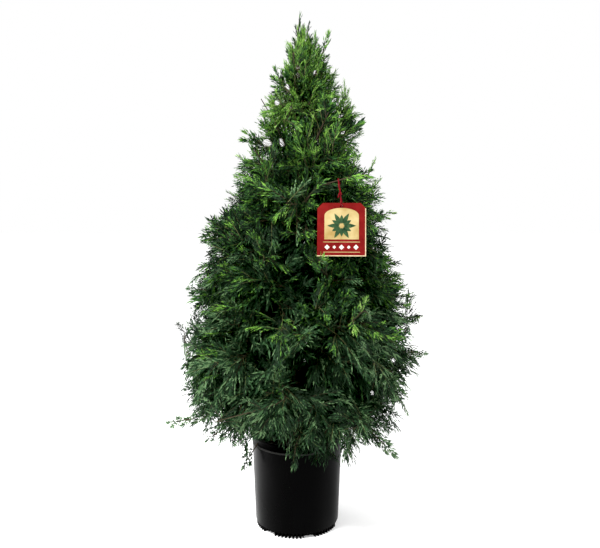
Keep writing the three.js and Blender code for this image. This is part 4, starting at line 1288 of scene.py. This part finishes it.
def make_foliage():
    """Foliage pieces by groups of masses. Gives the spines of the sprays and the stems that carry them."""
    sprays = []
    twigs = []
    grow_shells(sprays, twigs)
    grow_leader(sprays)
    grow_limbs(sprays)
    grow_shoots(sprays, twigs)
    grow_hanger(sprays, twigs)
    root, run, face, length, owner, shell, last, shoot = [np.concatenate(field) for field in zip(*sprays)]
    steep = np.interp(root[:, 2], *STEEP) * ~shoot
    run = unit(run + UP * steep[:, None])
    face = square_to(face, run)
    length = np.where(shoot, length, inside_outline(length, root, run))
    thinned = random.uniform(0, 1, len(length)) < np.interp(root[:, 2], *THIN) * (shell == 0)
    hollow = in_hollow(root + run * 0.5 * length[:, None])
    kept = shoot | ((length > SPRAY_SHORTEST) & ~hollow & ~thinned)
    root, run, face, length, owner, shell, last, shoot = [
        field[kept] for field in (root, run, face, length, owner, shell, last, shoot)
    ]
    level = np.sqrt(np.maximum(0, 1 - run[:, 2] ** 2))
    sag = -UP * (SPRAY_SAG * length * level * random.uniform(*SAG_SCATTER, len(length)))[:, None]
    zone_greens = deal_greens(root, run, length, shell, last, shoot)
    kind = choose_templates(root, length, shell, shoot)
    # The piece that each limb's mass goes to
    masses = np.arange(LIMB_COUNT) * PIECE_COUNT // LIMB_COUNT
    pieces = [Shape() for _ in range(PIECE_COUNT)]
    spines = []
    for number, template in enumerate(TEMPLATES):
        for part, shape in enumerate(pieces):
            chosen = np.flatnonzero((kind == number) & (masses[owner] == part))
            places = [field[chosen] for field in (root, run, face, length, sag)]
            spines.append(add_placed(shape, template, places, zone_greens[:, chosen]))
    greens = [new_material(name, color, LEAF_ROUGHNESS, LEAF_SPECULAR) for name, color in GREENS.items()]
    for part, shape in enumerate(pieces):
        piece = shape.make(f"foliage_sprays_{part + 1}", greens)
        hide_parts(*[MASS_NODES[number] for number in np.flatnonzero(masses == part)])
    return np.concatenate(spines), twigs


def make_twigs(spines, stems):
    """Limb stems past the boughs, plume stems and the spines of the sprays, as one piece."""
    shape = Shape()
    for number in range(LIMB_COUNT):
        start = BOUGH_SHARE if number >= FIRST_BOUGH else 0.0
        along = mix(start, 1.0, np.linspace(0, 1, STEM_STEPS))
        radius = mix(LIMB_RADII[number], LIMB_TIP_RADIUS, along)
        shape.add(*tubes(bezier(LIMBS[number], along)[None], radius[None, :, None], STEM_SIDES), TWIG_OLD)
    for paths, foot_radius, tip_radius in stems:
        thinning = mix(foot_radius, tip_radius, np.linspace(0, 1, PLUME_STEPS))
        shape.add(*tubes(paths, thinning[None, :, None], PLUME_SIDES))
    radius = SPRAY_AXIS_RADIUS * np.linspace(1, SPRAY_AXIS_TAPER, len(SPINE))
    corners, faces = tubes(spines, radius[None, :, None], PLUME_SIDES)
    young = random.uniform(0, 1, len(spines)) < YOUNG_SHARE
    slots = np.where(young, TWIG_YOUNG, TWIG_BROWN)
    shape.add(corners, faces, np.repeat(slots, len(faces) // len(spines)))
    brown = new_material("twig_brown", (0.050, 0.039, 0.023), 0.8, 0.1)
    green = new_material("twig_young", (0.115, 0.120, 0.046), 0.7, 0.1)
    old = new_material("twig_old", (0.045, 0.033, 0.023), 0.85, 0.1)
    piece = shape.make("twigs", [brown, green, old])


# Nursery can and bark mix

def rounded(profile, edge):
    """The profile with each inner corner cut into a short round."""
    result = [profile[0]]
    for before, corner, after in zip(profile, profile[1:], profile[2:]):
        corner = np.array(corner)
        ends = []
        for other in (before, after):
            apart = np.array(other) - corner
            reach = min(1.0, ROUND_SHARE * np.linalg.norm(apart) / edge)
            ends.append(corner + edge * unit(apart) * reach)
        controls = np.stack([ends[0], corner, ends[1]])
        result.extend(bezier(np.pad(controls, ((0, 0), (0, 1))), np.linspace(0, 1, ROUND_STEPS))[:, :2])
    result.append(profile[-1])
    return np.array(result)


def pot_profile():
    """Radius and height along the can, from the middle of its underside over its lip to the mix."""
    lip_under = POT_HEIGHT - POT_LIP_HEIGHT
    shoulder_top = POT_SHOULDER_HEIGHT + POT_SHOULDER_RISE
    inner = POT_NECK_RADIUS - POT_WALL
    inside = POT_SHOULDER_RADIUS - POT_WALL
    corners = [(0.0, 0.0), (FOOT_INNER_RADIUS, 0.0), (FOOT_RADIUS - FOOT_RIM, 0.0)]
    corners += [(FOOT_RADIUS, height) for height in FOOT_LEVELS]
    corners += [
        (POT_WALL_FOOT_RADIUS, FOOT_HEIGHT + FOOT_STEP), (POT_SHOULDER_RADIUS, POT_SHOULDER_HEIGHT),
        (POT_NECK_RADIUS, shoulder_top), (POT_NECK_RADIUS, lip_under - POT_SHOULDER_RISE),
        (POT_LIP_RADIUS, lip_under), (POT_LIP_RADIUS, POT_HEIGHT), (inner, POT_HEIGHT),
        (inner, shoulder_top), (inside, POT_SHOULDER_HEIGHT - POT_SHOULDER_RISE),
        (inside - POT_DRAFT, SOIL_EDGE - SOIL_DEPTH_SHOWN),
    ]
    return rounded(corners, POT_EDGE)


def make_pot():
    """The can: rolled lip, inset neck, shoulder, tapered wall, fluted foot with drain notches."""
    profile = pot_profile()
    turns = even_turns(POT_SIDES)
    radius = np.repeat(profile[:, 0:1], POT_SIDES, axis=1)
    height = np.repeat(profile[:, 1:2], POT_SIDES, axis=1)
    flutes = (0.5 - 0.5 * np.cos(FOOT_FLUTES * turns)) ** 2
    on_foot = (height < FOOT_HEIGHT - 2 * HAIR) & (radius > FOOT_RADIUS - FOOT_SKIN)
    radius = radius - np.where(on_foot, FLUTE_DEPTH * flutes[None, :], 0)
    arch = (height < ARCH_HEIGHT) & (radius > FOOT_RADIUS - ARCH_DEPTH)
    radius = radius - np.where(arch, ARCH_DEPTH * flutes[None, :], 0)
    half = math.pi / DRAIN_COUNT
    beside = (turns - DRAIN_TURN + half) % (2 * half) - half
    in_notch = np.abs(beside) * FOOT_RADIUS < 0.5 * DRAIN_WIDTH
    notch = in_notch[None, :] & (height < DRAIN_HEIGHT + HAIR) & (radius > FOOT_RADIUS - DRAIN_DEPTH)
    radius = np.where(notch, FOOT_RADIUS - DRAIN_DEPTH, radius)
    # Upward faces above the shoulder get a lighter grey, a painted highlight; the rest above the shoulder
    # gets a darker, less glossy grey, painted shade
    steps = np.diff(profile, axis=0)
    above = profile[:-1, 1] > POT_SHOULDER_HEIGHT - POT_EDGE
    level = steps[:, 0] < -0.5 * np.linalg.norm(steps, axis=1)
    slots = np.where(above, np.where(level, POT_PAINTED_HIGHLIGHT, POT_PAINTED_SHADE), POT_BLACK)
    shape = Shape()
    faces = grid_faces(len(profile), POT_SIDES)
    shape.add(revolved(radius, height, turns), faces, np.repeat(slots, POT_SIDES))
    # These two materials are the painted highlight and the painted shade
    edge = new_material("pot_painted_highlight", POT_PAINTED_HIGHLIGHT_GREY, 0.5, 0.05)
    painted_shade = new_material("pot_painted_shade", POT_PAINTED_SHADE_GREY, 0.4, 0.008)
    piece = shape.make("nursery_can", [pot_material(), edge, painted_shade], smooth_angle=35)
    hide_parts("pot")


def soil_height(radius, turn):
    """Height of the lumpy top of the bark mix."""
    edge = POT_SHOULDER_RADIUS - POT_WALL
    share = np.clip((edge - radius) / (edge - SOIL_FLAT_RADIUS), 0, 1)
    lumps = ripple(radius * np.cos(turn) * SOIL_WAVES, radius * np.sin(turn) * SOIL_WAVES, SEED + 7, 3)
    settled = np.clip((radius - SOIL_CALM_RADIUS) / SOIL_CALM_BLEND, 0, 1)
    return SOIL_EDGE + (SOIL_MIDDLE - SOIL_EDGE) * share ** SOIL_ROUNDNESS + SOIL_LUMP * lumps * settled


def add_chips(shape):
    """Chips of bark that lie flat or half sunk on the mix."""
    sides = len(CHIP_OUTLINE)
    for _ in range(CHIP_COUNT):
        turn = random.uniform(0, 2 * math.pi)
        radius = CHIP_REACH * math.sqrt(random.uniform(*CHIP_AREA))
        size = random.uniform(*CHIP_SIZE) * 0.5
        rim = CHIP_OUTLINE * np.array([size, size * random.uniform(*CHIP_WIDTH)])
        rim = rim * random.uniform(*CHIP_RAGGED, (sides, 1))
        thick = size * random.uniform(*CHIP_THICKNESS)
        top = np.column_stack([rim * CHIP_TAPER, np.full(sides, thick)])
        bottom = np.column_stack([rim, np.full(sides, -thick)])
        roll = Matrix.Rotation(random.normal(0, CHIP_TILT), 3, "X")
        tilt = roll @ Matrix.Rotation(random.normal(0, CHIP_TILT), 3, "Y")
        spin = np.array(Matrix.Rotation(random.uniform(0, 2 * math.pi), 3, "Z") @ tilt)
        height = float(soil_height(np.array(radius), np.array(turn))) + CHIP_RISE * thick
        place = np.array([radius * math.cos(turn), radius * math.sin(turn), height])
        corners = np.concatenate([bottom, top]) @ spin.T + place
        shape.add(corners, grid_faces(2, sides), CHIP_SLOT)
        shape.add(corners[sides:], np.arange(sides)[None], CHIP_SLOT)


def make_soil():
    """The bark mix: fills the can, rises round the trunk and has chips on top."""
    turns = even_turns(SOIL_SIDES)
    edge = POT_SHOULDER_RADIUS - POT_WALL - 2 * SOIL_GAP - 2 * HAIR
    radius = np.repeat((np.linspace(0, 1, SOIL_RINGS) * edge)[:, None], SOIL_SIDES, axis=1)
    height = soil_height(radius, turns[None, :])
    foot_radius = POT_WALL_FOOT_RADIUS - POT_WALL - 2 * SOIL_GAP
    radius = np.concatenate([radius, np.full((1, SOIL_SIDES), foot_radius), np.zeros((1, SOIL_SIDES))])
    height = np.concatenate([height, np.full((2, SOIL_SIDES), SOIL_FOOT)])
    shape = Shape()
    shape.add(revolved(radius, height, turns), grid_faces(len(radius), SOIL_SIDES)[:, ::-1])
    add_chips(shape)
    piece = shape.make("potting_mix_top", [soil_material(), chip_material()], smooth_angle=40)
    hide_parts("potting_mix")


# Card and tie

TAG_HALF = 0.5 * TAG_WIDTH
TAG_LOW = TAG_HOLE_DROP - TAG_HEIGHT
TAG_SHOULDER = TAG_HOLE_DROP - TAG_CHAMFER


def at_level(outline, level):
    """A flat outline at a level above the middle of the board."""
    return np.column_stack([outline, np.full(len(outline), level)])


def flat_face(shape, outline, slot, rise):
    """One printed area, a little above the card's face."""
    outline = np.asarray(outline, dtype=float)
    shape.add(at_level(outline, 0.5 * TAG_THICKNESS + rise), np.arange(len(outline))[None], slot)


def box_outline(left, low, right, high):
    """Corners of an upright box."""
    return [(left, low), (right, low), (right, high), (left, high)]


def add_board(shape):
    """The red board with cut top corners, its hole and its pale cut edges."""
    rim = np.array([(-TAG_HALF, TAG_LOW), (TAG_HALF, TAG_LOW), (TAG_HALF, TAG_SHOULDER),
                    (TAG_HALF - TAG_CHAMFER, TAG_HOLE_DROP), (TAG_CHAMFER - TAG_HALF, TAG_HOLE_DROP),
                    (-TAG_HALF, TAG_SHOULDER)])
    shares = np.arange(TAG_SIDE_STEPS)[:, None] / TAG_SIDE_STEPS
    dense = np.concatenate([mix(a, b, shares) for a, b in zip(rim, np.roll(rim, -1, axis=0))])
    dense = dense[np.argsort(np.arctan2(dense[:, 1], dense[:, 0]) % (2 * math.pi))]
    angles = np.arctan2(dense[:, 1], dense[:, 0])
    inner = TAG_HOLE_RADIUS * np.column_stack([np.cos(angles), np.sin(angles)])
    faces = grid_faces(2, len(dense))
    front = 0.5 * TAG_THICKNESS
    for level, side_faces in ((front, faces[:, ::-1]), (-front, faces)):
        shape.add(np.concatenate([at_level(inner, level), at_level(dense, level)]), side_faces, CARD_RED)
    for ring in (dense, inner):
        shape.add(np.concatenate([at_level(ring, -front), at_level(ring, front)]), faces, CARD_EDGE)


def add_print(shape):
    """A gold arched panel with a rosette of plain leaves, rules, small diamonds and two bare edges."""
    low = TAG_LOW + PANEL_LOW
    high = TAG_HOLE_DROP - PANEL_DROP
    half = TAG_HALF - PANEL_INSET
    arched = [(-half, low), (half, low)]
    for angle in np.linspace(0, math.pi, PANEL_STEPS):
        arched.append((half * math.cos(angle), high + PANEL_ARCH * math.sin(angle)))
    flat_face(shape, arched, CARD_GOLD, PRINT_RISE)
    middle = np.array([0.0, 0.5 * (low + high) + ROSETTE_LIFT])
    for leaf in range(ROSETTE_LEAVES):
        turn = leaf * 2 * math.pi / ROSETTE_LEAVES
        along = np.array([math.cos(turn), math.sin(turn)])
        aside = np.array([-along[1], along[0]]) * ROSETTE_WIDTH
        tip = along * ROSETTE_LENGTHS[leaf % 2]
        flanks = [(middle + tip * s, aside * math.sin(math.pi * s)) for s in ROSETTE_STEPS]
        blade = [middle + along * ROSETTE_HOLE] + [place + width for place, width in flanks]
        blade += [middle + tip] + [place - width for place, width in flanks[::-1]]
        flat_face(shape, blade, CARD_GREEN, 2 * PRINT_RISE)
    side = TAG_HALF - RULE_INSET
    for rule in RULES:
        height = TAG_LOW + rule
        flat_face(shape, box_outline(-side, height, side, height + RULE_WIDTH), CARD_GOLD, PRINT_RISE)
    y = TAG_LOW + DIAMOND_HEIGHT
    for k in DIAMONDS:
        x = DIAMOND_GAP * k
        size = DIAMOND_SIZES[k % 2]
        flat_face(shape, [(x - size, y), (x, y - size), (x + size, y), (x, y + size)], CARD_CREAM, PRINT_RISE)
    right = box_outline(TAG_HALF - BARE_EDGE, TAG_LOW, TAG_HALF, TAG_SHOULDER)
    flat_face(shape, right, CARD_EDGE, PRINT_RISE)
    bottom = box_outline(-TAG_HALF, TAG_LOW, TAG_HALF, TAG_LOW + BARE_EDGE)
    flat_face(shape, bottom, CARD_EDGE, 2 * PRINT_RISE)


def make_tag():
    """The printed card. Its inks are in the order of the CARD_ values."""
    shape = Shape()
    add_board(shape)
    add_print(shape)
    inks = [
        print_material("card_red", (0.112, 0.004, 0.004), (0.160, 0.007, 0.006), 60),
        print_material("card_gold", (0.24, 0.15, 0.035), (0.43, 0.34, 0.16), 28),
        print_material("card_green", (0.012, 0.035, 0.016), (0.035, 0.075, 0.03), 120),
        print_material("card_cream", (0.52, 0.47, 0.40), (0.66, 0.62, 0.54), 90),
        print_material("card_edge", (0.40, 0.31, 0.18), (0.55, 0.46, 0.30), 90),
    ]
    piece = shape.make("tag_card", inks)
    piece.data.transform(TAG_FRAME)
    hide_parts("hang_tag")


def make_tie():
    """The tie: a loop through the card's hole and over the twig, a knot and two loose ends."""
    run = (TIE_TOP - TAG_HOLE).normalized()
    normal = (HANGER_RUN - run * HANGER_RUN.dot(run)).normalized()
    axes = [np.array(axis) for axis in (run, run.cross(normal), normal)]
    span = (TIE_TOP - TAG_HOLE).length

    def placed(start, *steps):
        """Points at steps along the tie, to its side and forward."""
        return start + sum(np.outer(step, axis) for step, axis in zip(steps, axes))

    shape = Shape()
    shares = np.linspace(0, 1, TIE_STEPS)
    turn = 2 * math.pi * shares
    height = np.sin(turn) * 0.5 + 0.5
    width = LOOP_WIDTH * np.cos(turn) * (LOOP_WAIST + np.abs(height - KNOT_AT) / (1 - KNOT_AT))
    along = mix(LOOP_PAST[0], span + LOOP_PAST[1], height)
    loop = placed(np.array(TAG_HOLE), along, width, LOOP_WAVER * np.sin(LOOP_WAVES * turn))
    twist = 1 + TIE_TWIST * np.cos(2 * even_turns(TIE_SIDES) + TIE_TWISTS * shares[:, None])
    shape.add(*tubes(loop[None], TIE_RADIUS * twist[None], TIE_SIDES))
    bend = np.linspace(0, 2 * math.pi, KNOT_STEPS)
    centre = np.array(TAG_HOLE) + axes[0] * span * KNOT_AT
    wide = KNOT_RADIUS + KNOT_LOBES * np.cos(3 * bend)
    rise = KNOT_HEIGHT * np.sin(3 * bend)
    strands = [placed(centre, rise, wide * np.cos(2 * bend), wide * np.sin(2 * bend))]
    shares = np.linspace(0, 1, END_STEPS)
    for hand in (-1, 1):
        aside = hand * (END_SIDE[0] + END_SIDE[1] * shares)
        strands.append(placed(centre, -END_DROP * shares ** END_CURVE, aside, END_FORWARD * shares))
    for strand in strands:
        shape.add(*tubes(strand[None], TIE_RADIUS, TIE_SIDES))
    piece = shape.make("tie", [tie_material()], smooth_angle=60)
    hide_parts("tag_tie")


# Stage, light and camera

def place_object(name, data, place):
    """A new object in the scene."""
    item = bpy.data.objects.new(name, data)
    item.location = place
    bpy.context.scene.collection.objects.link(item)
    return item


def make_stage():
    """White floor, white surroundings and soft lamps."""
    mesh = bpy.data.meshes.new("floor")
    far = FLOOR_REACH
    mesh.from_pydata([(-far, -far, 0), (far, -far, 0), (far, far, 0), (-far, far, 0)], [], [(0, 1, 2, 3)])
    paint = new_material("floor_white", (0.9, 0.9, 0.9), 0.9, 0.0)
    shader = paint.node_tree.nodes["Principled BSDF"]
    shader.inputs["Emission Color"].default_value = WHITE
    shader.inputs["Emission Strength"].default_value = FLOOR_GLOW
    mesh.materials.append(paint)
    floor = place_object("floor", mesh, (0, 0, 0))
    world = bpy.data.worlds.new("studio")
    world.use_nodes = True
    world.node_tree.nodes["Background"].inputs["Color"].default_value = WHITE
    world.node_tree.nodes["Background"].inputs["Strength"].default_value = 1.0
    bpy.context.scene.world = world
    for name, (place, aim, size, power) in LAMPS.items():
        light = bpy.data.lights.new(name, "AREA")
        light.shape = "RECTANGLE"
        light.size, light.size_y = size
        light.energy = power
        lamp = place_object(name, light, place)
        lamp.rotation_euler = (Vector(aim) - Vector(place)).to_track_quat("-Z", "Y").to_euler()


def make_camera():
    """The photo's viewpoint and the picture's tones."""
    lens = bpy.data.cameras.new("camera")
    lens.lens = CAMERA_LENS
    lens.sensor_width = CAMERA_SENSOR
    camera = place_object("camera", lens, CAMERA_PLACE)
    camera.rotation_euler = (math.pi / 2 - CAMERA_PITCH, 0, 0)
    bpy.context.scene.camera = camera
    tones = bpy.context.scene.view_settings
    tones.view_transform = "Standard"
    tones.look = "None"
    tones.use_curve_mapping = True
    tones.curve_mapping.black_level = (BLACK_POINT,) * 3
    tones.curve_mapping.update()


make_pot()
make_soil()
make_wood()
make_twigs(*make_foliage())
make_tag()
make_tie()
make_stage()
make_camera()
